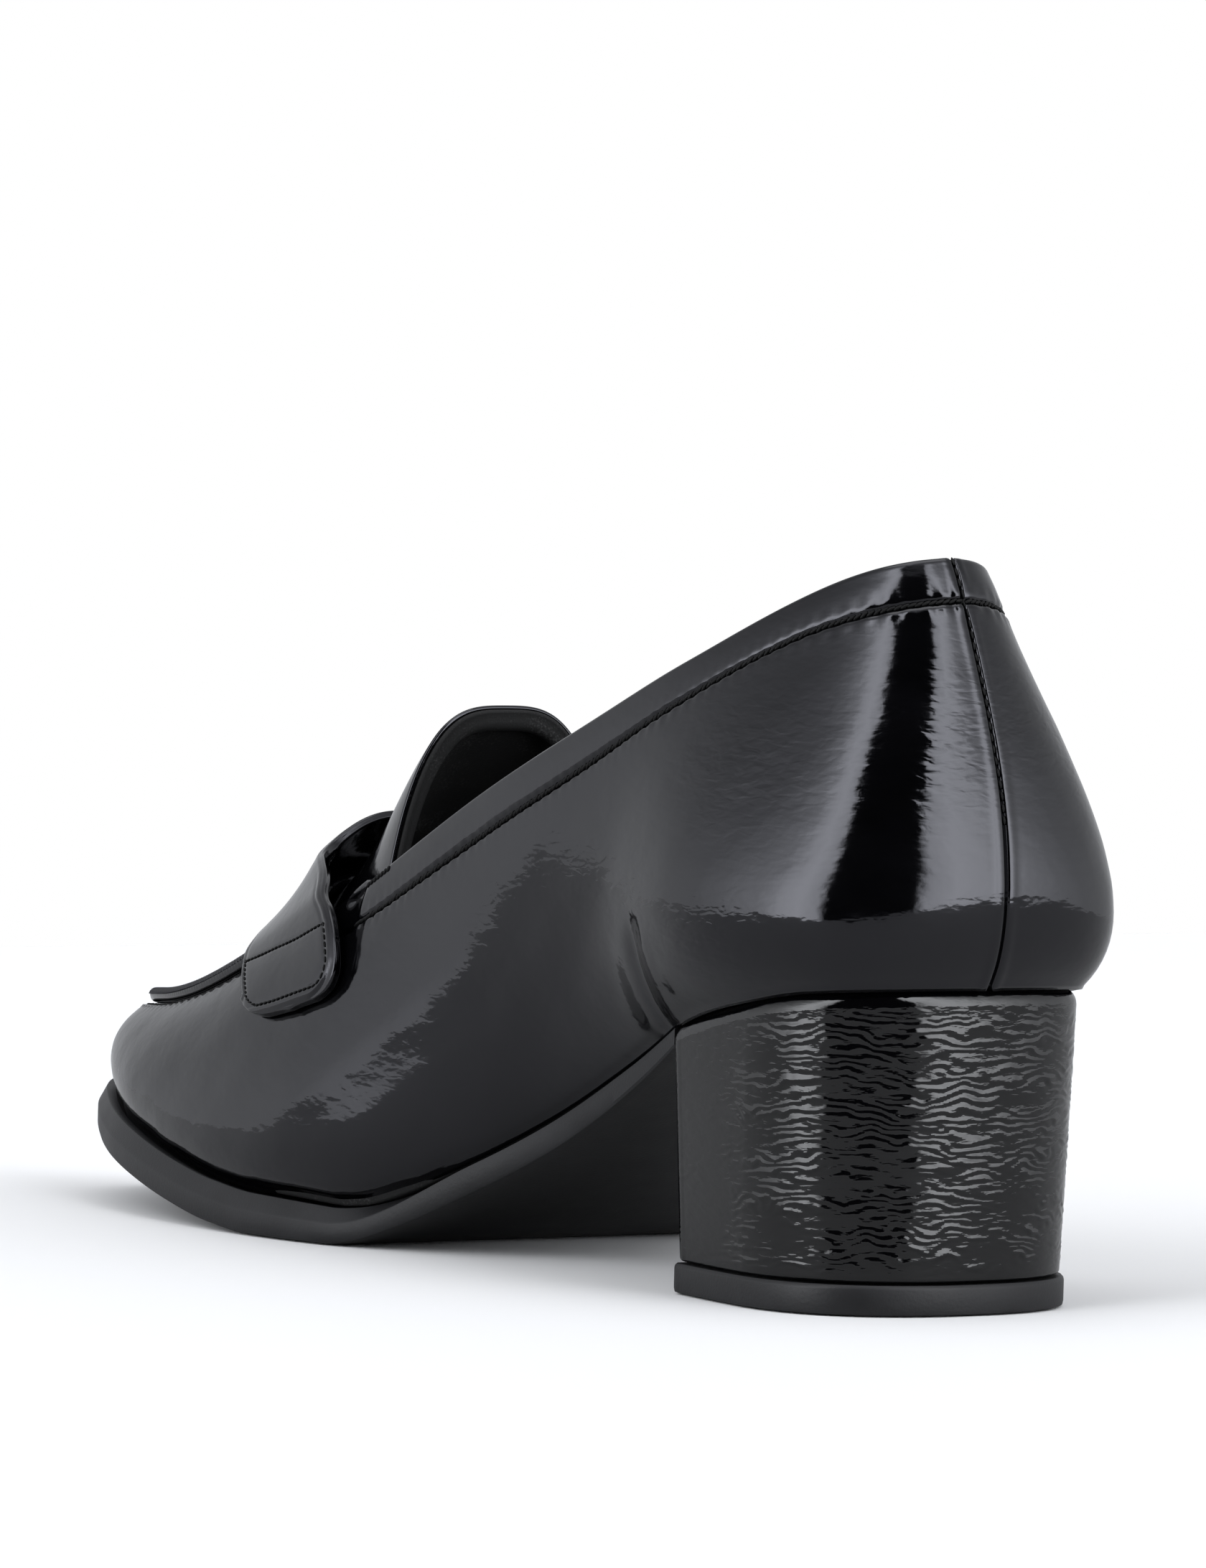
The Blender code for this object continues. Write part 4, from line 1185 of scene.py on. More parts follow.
def plan_ring(ribs, inset, height):
    """Ring of the feather outline, moved inwards by inset and at a height, two functions of along."""
    turns = np.concatenate([turn_of(ribs, 1), turn_of(ribs[::-1], -1)])
    point, outward = feather(turns)
    moved = point - outward * inset(point[:, 0])[:, None]
    moved[:, 2] = height(moved[:, 0])
    return moved


def make_outsole(sizes):
    start = SOLE[0][0] * LENGTH
    ribs = np.linspace(rib_at(ALONG, start), LAST_RIB, 181)

    def split(along):
        behind = 1 - smooth(sizes.ledge_end - 0.004, sizes.ledge_end + 0.022, along)
        return SOLE_SIDE_SPLIT + (SIDE_SPLIT_AT_WAIST - SOLE_SIDE_SPLIT) * behind

    def ledge(along):
        return sole_column("ledge", along) * SOLE_LEDGE

    def facet(along):
        return WAIST_FACET * bump(along - WAIST_PLACE, WAIST_REACH)

    def upper_band(part):
        return lambda along: split(along) + (1 - split(along)) * part

    def cut_back(bevels):
        return lambda along: bevels * SOLE_BEVEL + facet(along)

    def ledge_rim(along):
        top_share = 0.70 + 0.18 * smooth(0.14, 0.17, along)
        return np.maximum(ledge(along) * top_share, 2.0 * SOLE_BEVEL) + facet(along)

    def under_upper(margin):
        return lambda along: np.maximum(ledge(along), SOLE_BEVEL) + facet(along) + margin

    def ring(inset, share):
        return plan_ring(
            ribs,
            lambda along: at_along(inset, along) - ledge(along),
            lambda along: sole_bottom(along) + sole_thickness(along) * at_along(share, along),
        )

    bevel = SOLE_BEVEL / SOLE_THICKNESS
    rings = [
        ring(2.2 * SOLE_BEVEL, 0.0),
        ring(0.8 * SOLE_BEVEL, 0.02),
        ring(0.25 * SOLE_BEVEL, bevel * 0.45),
        ring(0.0, bevel * 1.2),
        ring(0.0, lambda along: split(along) * 0.6),
        ring(0.02 * SOLE_BEVEL, lambda along: split(along) - 0.03),
        ring(0.07 * SOLE_BEVEL, split),
        ring(0.24 * SOLE_BEVEL, upper_band(0.12)),
        ring(cut_back(1.35), upper_band(0.88)),
        ring(cut_back(1.50), 0.99),
        ring(cut_back(1.75), 1.0),
        ring(ledge_rim, 0.96),
        ring(under_upper(0.0009), 0.70),
        ring(under_upper(0.0030), 0.70),
    ]
    mesh = ring_solid("outsole_rubber", rings, "rubber")
    return add_piece("outsole_rubber", mesh, ["outsole"])


def make_insole():
    ribs = np.linspace(0, LAST_RIB, 141)
    across = np.linspace(1, -1, 41)
    inner, outer = feather(turn_of(ribs, 1)), feather(turn_of(ribs, -1))
    left = inner[0] - inner[1] * INSOLE_INSET
    right = outer[0] - outer[1] * INSOLE_INSET
    share = ((1 + across) / 2)[None, :, None]
    grid = left[:, None] * share + right[:, None] * (1 - share)
    grid[..., 2] = seat_height(grid[..., 0]) + GAP
    raised = grid.copy()
    raised[..., 2] += INSOLE_THICKNESS + 0.0004 * np.abs(across[None, :]) ** 6
    mesh = sheet_solid("insole_sock", raised, grid, "lining", steps=4, bulge=0.2)
    return add_piece("insole_sock", mesh, ["insole"])


def heel_ring(inset, height):
    """D outline of the heel: round at the back, drawn in a little towards a flat breast."""
    angles = np.linspace(0, np.pi / 2, 90)
    power = 2 / HEEL_ROUND_POWER
    half, back, breast = HEEL_HALF_WIDTH - inset, HEEL_BACK + inset, HEEL_BREAST - inset
    narrow = HEEL_BREAST_HALF - inset
    side = [(back + HEEL_ROUND_LENGTH * (1 - np.cos(a) ** power), half * np.sin(a) ** power) for a in angles]
    straight = back + HEEL_ROUND_LENGTH
    for part in np.linspace(0, 1, 48)[1:]:
        along = straight + (breast - 2 * HEEL_LIP - straight) * part
        side.append((along, half + (narrow - half) * (HEEL_WAIST * 2 * part * (1 - part) + part**2)))
    for angle in np.linspace(0, np.pi / 2, 9)[1:]:
        turned = HEEL_LIP * np.array([np.sin(angle), 1 - np.cos(angle)])
        side.append((breast - 2 * HEEL_LIP + 2 * turned[0], narrow - turned[1]))
    outline = np.array(side + [(along, -out) for along, out in side[::-1]])
    return np.column_stack([outline, at_along(height, outline[:, 0])])


def crinkles(ring, depth):
    """Ring of the heel cover with its worm-like, mostly level crinkles pushed out of it."""
    ahead = np.roll(ring, -1, axis=0) - np.roll(ring, 1, axis=0)
    outward = unit(np.stack([ahead[:, 1], -ahead[:, 0], np.zeros(len(ring))], axis=1))
    centre = np.array([(HEEL_BACK + HEEL_BREAST) / 2, 0.0])
    outward = outward * np.sign(np.sum(outward[:, :2] * (ring[:, :2] - centre), axis=1))[:, None]
    bent = lattice_noise(ring * (230, 230, 420), 3) + 0.5 * lattice_noise(ring * (560, 560, 900), 5)
    phase = ring[:, 2] / CRINKLE_SPACING + 0.95 * bent + 1.2 * lattice_noise(ring * (90, 90, 160), 8)
    part = phase - np.floor(phase)
    behind = (part - CRINKLE_FRONT) / (1 - CRINKLE_FRONT)
    scale = np.where(part < CRINKLE_FRONT, 1 - part / CRINKLE_FRONT, behind)
    scale = scale * scale * (1.8 - 0.8 * scale)
    patch = np.clip(0.74 + 0.85 * lattice_noise(ring * (190, 190, 420), 13), 0.05, 1.2)
    patch *= np.clip(0.95 + 0.75 * lattice_noise(ring * (430, 430, 620), 17), 0.2, 1.25)
    patch *= 1 - 0.88 * smooth(0.025, 0.036, ring[:, 0])
    push = depth * scale * patch
    return ring + outward * push[:, None]


def make_heel_cover(sizes):
    foot = TOP_PIECE_THICKNESS + GAP
    depth = sizes.heel_crinkles
    lip = 1.9 * HEEL_LIP
    rings = [heel_ring(HEEL_TAPER + 0.0009, foot)]
    for angle in np.linspace(0, np.pi / 2, 5):
        inset = HEEL_TAPER + HEEL_FOOT_ROUND * (1 - np.sin(angle))
        rings.append(heel_ring(inset, foot + HEEL_FOOT_ROUND * (1 - np.cos(angle))))
    for part in np.linspace(0, 1, 186)[1:]:
        plain = heel_ring(
            HEEL_TAPER * (1 - part),
            lambda along: (foot + HEEL_FOOT_ROUND) * (1 - part) + (seat_height(along) - lip) * part,
        )
        rings.append(crinkles(plain, depth * smooth(0, 0.05, part) * (1 - 0.8 * smooth(0.93, 1.0, part))))
    for angle in np.linspace(0, np.pi / 2, 8)[1:]:
        inset = 1.3 * HEEL_LIP * (1 - np.cos(angle))
        ring = heel_ring(inset, lambda along: seat_height(along) - lip * (1 - np.sin(angle)))
        rings.append(crinkles(ring, depth * 0.2 * np.cos(angle)))
    mesh = ring_solid("heel_cover", rings, "crinkle", sharp=60)
    return add_piece("heel_cover", mesh, ["heel_block"])


def make_top_piece():
    inset = HEEL_TAPER - TOP_PIECE_PROUD
    rings = [
        heel_ring(inset + 0.0008, 0.0),
        heel_ring(inset + 0.0001, 0.0003),
        heel_ring(inset, 0.0009),
        heel_ring(inset, TOP_PIECE_THICKNESS - 0.0007),
        heel_ring(inset + 0.00008, TOP_PIECE_THICKNESS - 0.0003),
        heel_ring(inset + 0.0003, TOP_PIECE_THICKNESS),
    ]
    mesh = ring_solid("top_piece_rubber", rings, "rubber")
    return add_piece("top_piece_rubber", mesh, ["top_piece"])


# Stitches


def new_tree(name, inputs):
    """Empty node tree with a geometry and named inputs, and its input and output nodes."""
    tree = bpy.data.node_groups.new(name, "GeometryNodeTree")
    tree.interface.new_socket(name="Path", in_out="INPUT", socket_type="NodeSocketGeometry")
    sockets = {}
    for label, kind in inputs.items():
        sockets[label] = tree.interface.new_socket(name=label, in_out="INPUT", socket_type=kind)
    tree.interface.new_socket(name="Stitches", in_out="OUTPUT", socket_type="NodeSocketGeometry")
    return tree, sockets


STITCH_INPUTS = {
    "Pitch": "NodeSocketFloat",
    "Length": "NodeSocketFloat",
    "Width": "NodeSocketFloat",
    "Height": "NodeSocketFloat",
    "Slant": "NodeSocketFloat",
    "Jitter": "NodeSocketFloat",
    "Seed": "NodeSocketInt",
    "Thread": "NodeSocketMaterial",
}


def stitch_tree(whipped):
    """Tree that lays stitches along a path: flat ones along it, or whipped ones that arch over it."""
    tree, sockets = new_tree("whipped_stitches" if whipped else "flat_stitches", STITCH_INPUTS)
    add = node_maker(tree)
    given = add("NodeGroupInput").outputs
    line = add("GeometryNodeMeshToCurve", {"Mesh": given["Path"]})
    even = add(
        "GeometryNodeResampleCurve", {"Curve": line.outputs["Curve"], "Length": given["Pitch"]}, mode="LENGTH"
    )
    tangent = add("GeometryNodeInputTangent")
    normal = add("GeometryNodeInputNamedAttribute", {"Name": "face_out"}, data_type="FLOAT_VECTOR")
    ahead = add("FunctionNodeAlignRotationToVector", {"Vector": tangent.outputs["Tangent"]}, axis="X")
    upright = add(
        "FunctionNodeAlignRotationToVector",
        {"Rotation": ahead.outputs["Rotation"], "Vector": normal.outputs["Attribute"]},
        axis="Z",
        pivot_axis="X",
    )
    wander = add("FunctionNodeRandomValue", {"Seed": given["Seed"]}, data_type="FLOAT")
    tree.links.new(given["Jitter"], wander.inputs[3])
    least = add("ShaderNodeMath", {0: given["Jitter"], 1: -1.0}, operation="MULTIPLY")
    tree.links.new(least.outputs[0], wander.inputs[2])
    slant = add("ShaderNodeMath", {0: given["Slant"], 1: wander.outputs[1]}, operation="ADD")
    turned = add("ShaderNodeCombineXYZ", {"Z": slant.outputs[0]})
    turn = add("FunctionNodeEulerToRotation", {"Euler": turned.outputs["Vector"]})
    rotation = add(
        "FunctionNodeRotateRotation",
        {"Rotation": upright.outputs["Rotation"], "Rotate By": turn.outputs["Rotation"]},
        rotation_space="LOCAL",
    )
    if whipped:
        arc = add(
            "GeometryNodeCurveArc",
            {"Resolution": 8, "Radius": 0.5, "Start Angle": 0.35, "Sweep Angle": np.pi - 0.7},
        )
        strand = add("GeometryNodeCurvePrimitiveCircle", {"Resolution": 5, "Radius": 0.085})
        thread = add(
            "GeometryNodeCurveToMesh",
            {"Curve": arc.outputs["Curve"], "Profile Curve": strand.outputs["Curve"], "Fill Caps": True},
        )
        stood = add(
            "GeometryNodeTransform",
            {"Geometry": thread.outputs["Mesh"], "Rotation": (np.pi / 2, 0.0, np.pi / 2)},
        )
        shape = stood.outputs["Geometry"]
    else:
        ball = add("GeometryNodeMeshUVSphere", {"Segments": 8, "Rings": 6, "Radius": 0.5})
        shape = ball.outputs["Mesh"]
    size = add("ShaderNodeCombineXYZ", {"X": given["Length"], "Y": given["Width"], "Z": given["Height"]})
    laid = add(
        "GeometryNodeInstanceOnPoints",
        {
            "Points": even.outputs["Curve"],
            "Instance": shape,
            "Rotation": rotation.outputs["Rotation"],
            "Scale": size.outputs["Vector"],
        },
    )
    real = add("GeometryNodeRealizeInstances", {"Geometry": laid.outputs["Instances"]})
    soft = add("GeometryNodeSetShadeSmooth", {"Geometry": real.outputs["Geometry"]})
    finished = add(
        "GeometryNodeSetMaterial", {"Geometry": soft.outputs["Geometry"], "Material": given["Thread"]}
    )
    add("NodeGroupOutput", {"Stitches": finished.outputs["Geometry"]})
    return tree, sockets


def sew(name, lines, values, whipped=False, material="thread"):
    """Stitches along lines of points with normals, made real as one plain mesh."""
    key = "whipped" if whipped else "flat"
    if key not in SHARED:
        SHARED[key] = stitch_tree(whipped)
    tree, sockets = SHARED[key]
    points = np.concatenate([world(line[0]) for line in lines])
    normals = np.concatenate([line[1] for line in lines])
    turned = np.stack([normals[:, 1], -normals[:, 0], normals[:, 2]], axis=1)
    edges = []
    start = 0
    for line in lines:
        edges += [(start + i, start + i + 1) for i in range(len(line[0]) - 1)]
        start += len(line[0])
    path = bpy.data.meshes.new(name + "_path")
    path.from_pydata(points.tolist(), edges, [])
    facing = path.attributes.new("face_out", "FLOAT_VECTOR", "POINT")
    facing.data.foreach_set("vector", turned.astype(np.float32).ravel())
    carrier = bpy.data.objects.new(name + "_path", path)
    bpy.context.scene.collection.objects.link(carrier)
    modifier = carrier.modifiers.new("Stitches", "NODES")
    modifier.node_group = tree
    for label, value in {"Jitter": 0.05, "Seed": 7, "Thread": look(material), **values}.items():
        modifier[sockets[label].identifier] = value
    graph = bpy.context.evaluated_depsgraph_get()
    graph.update()
    mesh = bpy.data.meshes.new_from_object(
        carrier.evaluated_get(graph), preserve_all_data_layers=False, depsgraph=graph
    )
    mesh.name = name
    carrier.modifiers.clear()
    bpy.data.objects.remove(carrier)
    bpy.data.meshes.remove(path)
    if not len(mesh.polygons):
        raise RuntimeError(name + " has no stitches")
    return add_piece(name, mesh)


def make_collar_stitching(sizes):
    corner = rib_at(TOP_ALONG, sizes.quarter_front + 0.0005)
    line = upper().line(COUNT - corner, corner, sizes.collar_seam, lift=0.00025)
    values = {
        "Pitch": 0.00110,
        "Length": 0.00175,
        "Width": 0.00056,
        "Height": 0.00060,
        "Slant": 0.42,
        "Jitter": 0.16,
    }
    return sew("collar_stitching", [line], values)


def make_back_stitching(sizes):
    shape = upper()
    heights = np.linspace(BACK_SEAM_TOP, BACK_SEAM_LOW, 160)
    row = shape.grid[0]
    normal = shape.normal[0]
    order = np.argsort(row[:, 2])
    points = np.stack([np.interp(heights, row[order, 2], row[order, k]) for k in range(3)], axis=1)
    normals = np.stack([np.interp(heights, row[order, 2], normal[order, k]) for k in range(3)], axis=1)
    values = {"Pitch": 0.00180, "Length": 0.00150, "Width": 0.00050, "Height": 0.00044, "Slant": 0.0}
    lift = sizes.back_groove - 0.00012
    return sew("back_seam_stitching", [(points + normals * lift, normals)], values)


def make_throat_stitching(sizes):
    lines = []
    for side in (1, -1):
        ribs = (rib_at(TOP_ALONG, THROAT_STITCHES_START), rib_at(TOP_ALONG, sizes.quarter_front))
        turns = ribs if side > 0 else (COUNT - ribs[1], COUNT - ribs[0])
        lines.append(upper().line(turns[0], turns[1], 0.0012))
    values = {"Pitch": 0.0011, "Length": 0.0012, "Width": 0.0006, "Height": 0.0006, "Slant": 0.9}
    return sew("throat_stitching", lines, values)


def make_strap_stitching(sizes):
    shape = strap()
    lines = [shape.edge_line(side, sizes.strap_stitch_inset) for side in (1, -1)]
    lines += [shape.cross_line(side) for side in (1, -1)]
    values = {"Pitch": 0.00140, "Length": 0.00120, "Width": 0.00040, "Height": 0.00036, "Slant": 0.15}
    raised = [(points + normals * 0.00008, normals) for points, normals in lines]
    return sew("strap_stitching", raised, values)


def make_apron_stitching(sizes):
    turns = ridge_line()[0]
    centre, outward = ridge_centre(turns, sizes)
    lean = unit(outward * 0.12 + UP)
    values = {
        "Pitch": sizes.whip_spacing,
        "Length": 0.0024,
        "Width": sizes.ridge_width * 1.12,
        "Height": sizes.ridge_height * 1.1,
        "Slant": 0.18,
    }
    sew("apron_whip_stitching", [(centre, lean)], values, whipped=True, material="patent")
    start = float(turns[0])
    line = upper().line(start, COUNT - start, 0.0021, lift=0.0001)
    values = {"Pitch": sizes.whip_spacing, "Length": 0.0013, "Width": 0.0007, "Height": 0.0007, "Slant": 1.2}
    return sew("apron_lower_stitching", [line], values)


# Stage

CAMERA_PLACE = (0.83182, 1.26557, 0.13662)
CAMERA_AZIMUTH = 33.54  # these three in degrees
CAMERA_PITCH = 2.26
CAMERA_ROLL = 1.48
CAMERA_LENS = 210.6  # millimetres
TOP_LIGHT_AHEAD = 0.05
TOP_LIGHT_HEIGHT = 2.4
TOP_LIGHT_AIM = 0.05
TOP_LIGHT_SIDE = 1.6
FLOOR_DROP = 0.0001  # the floor lies this much under the shoe


def make_floor(stage):
    mesh = bpy.data.meshes.new("floor")
    half = stage.floor_size / 2
    corners = [(-half, -half), (half, -half), (half, half), (-half, half)]
    mesh.from_pydata([(x, y, -FLOOR_DROP) for x, y in corners], [], [(0, 1, 2, 3)])
    floor = bpy.data.objects.new("floor", mesh)
    bpy.context.scene.collection.objects.link(floor)
    made, shader, add = start_material("pale_floor", stage.floor_colour, 0.7, Specular_IOR_Level=0.1)
    paths = add("ShaderNodeLightPath")
    dimmed = [c * stage.floor_bounce for c in stage.floor_colour]
    shade = add(
        "ShaderNodeMix",
        {"Factor": paths.outputs["Is Camera Ray"], "A": (*dimmed, 1.0), "B": (*stage.floor_colour, 1.0)},
        data_type="RGBA",
    )
    made.node_tree.links.new(shade.outputs["Result"], shader.inputs["Base Color"])
    mesh.materials.append(made)
    return floor


def stand(item, axes, place):
    """Links an item, and stands it at a place with its x, y and z along three directions."""
    bpy.context.scene.collection.objects.link(item)
    rows = [[*row, p] for row, p in zip(np.array(axes).T, place)]
    item.matrix_world = Matrix(rows + [[0, 0, 0, 1]])
    return item


def make_top_light(stage):
    """Square lamp over the shoe, a little towards the camera, that faces it."""
    heading = np.radians(CAMERA_AZIMUTH)
    forward = np.array([np.sin(heading), np.cos(heading), 0.0])
    place = forward * TOP_LIGHT_AHEAD + UP * TOP_LIGHT_HEIGHT
    lamp = bpy.data.lights.new("top_light", "AREA")
    lamp.shape = "RECTANGLE"
    lamp.size = lamp.size_y = TOP_LIGHT_SIDE
    lamp.energy = np.pi * TOP_LIGHT_SIDE**2 * stage.top_light
    back = unit(place - UP * TOP_LIGHT_AIM)
    right = unit(np.cross([0.0, 1.0, 0.0], back))
    return stand(bpy.data.objects.new("top_light", lamp), [right, np.cross(back, right), back], place)


# Brightness of the surroundings by the angle away from the camera, as shares of the softboxes' own: a dark
# gap where the camera stands, a softbox at each side of it and a slow fall beyond
SURROUNDINGS = (
    (0, 0.0),
    (34, 0.0),
    (40, 0.80),
    (52, 1.00),
    (62, 0.85),
    (72, 0.50),
    (84, 0.31),
    (98, 0.20),
    (115, 0.14),
    (135, 0.10),
    (180, 0.09),
)


def make_sky(stage):
    """Soft studio surroundings, with a plain pale backdrop where the camera looks past the shoe."""
    sky = bpy.data.worlds.new("studio")
    sky.use_nodes = True
    bpy.context.scene.world = sky
    sky.node_tree.nodes.clear()
    add = node_maker(sky.node_tree)
    place = add("ShaderNodeTexCoord")
    turned = add(
        "ShaderNodeMapping",
        {"Vector": place.outputs["Generated"], "Rotation": (0.0, 0.0, np.radians(CAMERA_AZIMUTH))},
    )
    heading = add("ShaderNodeSeparateXYZ", {"Vector": turned.outputs["Vector"]}).outputs
    angle = add("ShaderNodeMath", {0: heading["X"], 1: heading["Y"]}, operation="ARCTAN2")
    away = add("ShaderNodeMath", {0: angle.outputs[0]}, operation="ABSOLUTE")
    steep = add("ShaderNodeMath", {0: heading["Z"], 1: heading["Z"]}, operation="MULTIPLY")
    narrowed = add("ShaderNodeMath", {0: steep.outputs[0], 1: 0.95}, operation="ADD")
    spread = add("ShaderNodeMath", {0: away.outputs[0], 1: narrowed.outputs[0]}, operation="MULTIPLY")
    share = add("ShaderNodeMath", {0: spread.outputs[0], 1: np.pi}, operation="DIVIDE")
    ramp = add("ShaderNodeValToRGB", {"Fac": share.outputs[0]})
    for row in SURROUNDINGS[1:-1]:
        ramp.color_ramp.elements.new(row[0] / 180)
    for element, (degrees, bright) in zip(ramp.color_ramp.elements, SURROUNDINGS):
        element.position = degrees / 180
        element.color = (bright, bright, bright, 1.0)
    overhead = add(
        "ShaderNodeMapRange",
        {"Value": heading["Z"], "From Min": 0.80, "From Max": 0.94},
        interpolation_type="SMOOTHSTEP",
    )
    around = add("ShaderNodeMath", {0: ramp.outputs["Color"], 1: stage.softboxes}, operation="MULTIPLY")
    level = add(
        "ShaderNodeMix",
        {"Factor": overhead.outputs["Result"], "A": around.outputs[0], "B": stage.overhead},
        data_type="FLOAT",
    )
    felt = add("ShaderNodeBackground", {"Color": (0.94, 0.96, 1.0, 1.0), "Strength": level.outputs["Result"]})
    seen = add("ShaderNodeBackground", {"Color": (1.0, 1.0, 1.0, 1.0), "Strength": stage.backdrop})
    paths = add("ShaderNodeLightPath")
    both = add(
        "ShaderNodeMixShader",
        {0: paths.outputs["Is Camera Ray"], 1: felt.outputs[0], 2: seen.outputs[0]},
    )
    add("ShaderNodeOutputWorld", {"Surface": both.outputs[0]})


def make_camera():
    azimuth, pitch, roll = np.radians([CAMERA_AZIMUTH, CAMERA_PITCH, CAMERA_ROLL])
    level = np.array([-np.sin(azimuth), -np.cos(azimuth), 0.0])
    forward = level * np.cos(pitch) - UP * np.sin(pitch)
    right = np.array([-np.cos(azimuth), np.sin(azimuth), 0.0])
    up = np.cross(right, forward)
    right, up = right * np.cos(roll) + up * np.sin(roll), up * np.cos(roll) - right * np.sin(roll)
    lens = bpy.data.cameras.new("camera")
    lens.sensor_fit = "VERTICAL"
    lens.sensor_height = 36.0
    lens.lens = CAMERA_LENS
    lens.clip_start, lens.clip_end = 0.05, 50.0
    item = stand(bpy.data.objects.new("camera", lens), [right, up, -forward], CAMERA_PLACE)
    bpy.context.scene.camera = item
    return item


# Settings


class LoaferSizes(bpy.types.PropertyGroup):
    """Sizes of the soft forms and seams"""

    collar_seam: FloatProperty(
        name="Collar seam",
        description="Distance of the collar's seam below its edge",
        default=0.0076,
        unit="LENGTH",
    )
    seam_groove: FloatProperty(
        name="Seam groove",
        description="Depth of the groove that the collar's seam lies in",
        default=0.00060,
        unit="LENGTH",
    )
    back_groove: FloatProperty(
        name="Back groove",
        description="Depth of the seam down the back",
        default=0.0008,
        unit="LENGTH",
    )
    pucker_spacing: FloatProperty(
        name="Pucker spacing",
        description="Distance between the puckers beside a seam",
        default=0.0027,
        unit="LENGTH",
    )
    lumps: FloatProperty(
        name="Lumps",
        description="Height of the leather's slow waves",
        default=0.00003,
        unit="LENGTH",
    )
    leather: FloatProperty(
        name="Leather",
        description="Thickness of the outer leather",
        default=0.0011,
        unit="LENGTH",
    )
    quarter_front: FloatProperty(
        name="Quarter front",
        description="Where the quarter's front edge lies",
        default=0.1395,
        unit="LENGTH",
    )
    ridge_width: FloatProperty(
        name="Ridge width",
        description="Width of the pinched ridge round the apron",
        default=0.0022,
        unit="LENGTH",
    )
    ridge_height: FloatProperty(
        name="Ridge height",
        description="Height of the pinched ridge round the apron",
        default=0.0023,
        unit="LENGTH",
    )
    whip_spacing: FloatProperty(
        name="Whip spacing",
        description="Distance between the whipped stitches",
        default=0.0012,
        unit="LENGTH",
    )
    strap_stitch_inset: FloatProperty(
        name="Strap stitch inset",
        description="Distance of the strap's stitches from its edge",
        default=0.0017,
        unit="LENGTH",
    )
    tongue_roll: FloatProperty(
        name="Tongue roll",
        description="Width of the padded roll along the tongue's edge",
        default=0.0038,
        unit="LENGTH",
    )
    heel_crinkles: FloatProperty(
        name="Heel crinkles",
        description="Height of the crinkles in the heel's cover",
        default=0.00013,
        unit="LENGTH",
    )
    ledge_end: FloatProperty(
        name="Ledge end",
        description="Where the sole's ledge runs out on the way back",
        default=0.113,
        unit="LENGTH",
    )


class LoaferLooks(bpy.types.PropertyGroup):
    """Colours and gloss"""

    patent_colour: FloatVectorProperty(
        name="Patent colour",
        description="Colour under the gloss",
        default=(0.0012, 0.0012, 0.0015),
        subtype="COLOR",
    )
    patent_roughness: FloatProperty(
        name="Patent roughness",
        description="Roughness of the gloss",
        default=0.08,
        subtype="FACTOR",
    )
    patent_ripple: FloatProperty(
        name="Patent ripple",
        description="Height of the ripples in the gloss",
        default=0.00003,
        unit="LENGTH",
    )
    patent_wrinkle: FloatProperty(
        name="Patent wrinkle",
        description="Height of the fine wrinkles where it creases",
        default=0.00016,
        unit="LENGTH",
    )
    crinkle_depth: FloatProperty(
        name="Crinkle depth",
        description="Height of the heel cover's finest crinkles",
        default=0.00006,
        unit="LENGTH",
    )
    lining_colour: FloatVectorProperty(
        name="Lining colour",
        description="Colour of the lining",
        default=(0.0045, 0.0045, 0.0045),
        subtype="COLOR",
    )
    rubber_colour: FloatVectorProperty(
        name="Rubber colour",
        description="Colour of the sole and top piece",
        default=(0.011, 0.011, 0.012),
        subtype="COLOR",
    )
    thread_colour: FloatVectorProperty(
        name="Thread colour",
        description="Colour of the thread",
        default=(0.002, 0.002, 0.002),
        subtype="COLOR",
    )


class LoaferStage(bpy.types.PropertyGroup):
    """Floor and light"""

    floor_colour: FloatVectorProperty(
        name="Floor colour",
        description="Colour of the floor",
        default=(0.83, 0.83, 0.83),
        subtype="COLOR",
    )
    floor_size: FloatProperty(
        name="Floor size",
        description="Side of the floor",
        default=1.5,
        unit="LENGTH",
    )
    floor_bounce: FloatProperty(
        name="Floor bounce",
        description="Share of its brightness that the floor gives back to the shoe",
        default=0.50,
    )
    backdrop: FloatProperty(
        name="Backdrop",
        description="Brightness behind the shoe",
        default=1.0,
    )
    softboxes: FloatProperty(
        name="Softboxes",
        description="Brightness of the soft light beside the camera",
        default=5.8,
    )
    overhead: FloatProperty(
        name="Overhead",
        description="Brightness of the ceiling",
        default=0.9,
    )
    top_light: FloatProperty(
        name="Top light",
        description="Brightness of the lamp overhead",
        default=1.2,
    )


# Operators


class LOAFER_OT_upper(bpy.types.Operator):
    """Makes the upper's leather and lining"""

    bl_idname = "loafer.upper"
    bl_label = "Upper"

    def execute(self, context):
        sizes = context.scene.loafer_sizes
        make_upper_leather(sizes)
        make_upper_lining(sizes)
        return {"FINISHED"}


class LOAFER_OT_apron(bpy.types.Operator):
    """Makes the apron and the ridge round it"""

    bl_idname = "loafer.apron"
    bl_label = "Apron"

    def execute(self, context):
        sizes = context.scene.loafer_sizes
        make_apron_leather()
        make_apron_ridge(sizes)
        return {"FINISHED"}


class LOAFER_OT_strap(bpy.types.Operator):
    """Makes the strap over the instep"""

    bl_idname = "loafer.strap"
    bl_label = "Saddle strap"

    def execute(self, context):
        make_saddle_strap()
        return {"FINISHED"}


class LOAFER_OT_tongue(bpy.types.Operator):
    """Makes the tongue and its rolled lining"""

    bl_idname = "loafer.tongue"
    bl_label = "Tongue"

    def execute(self, context):
        make_tongue(context.scene.loafer_sizes)
        return {"FINISHED"}


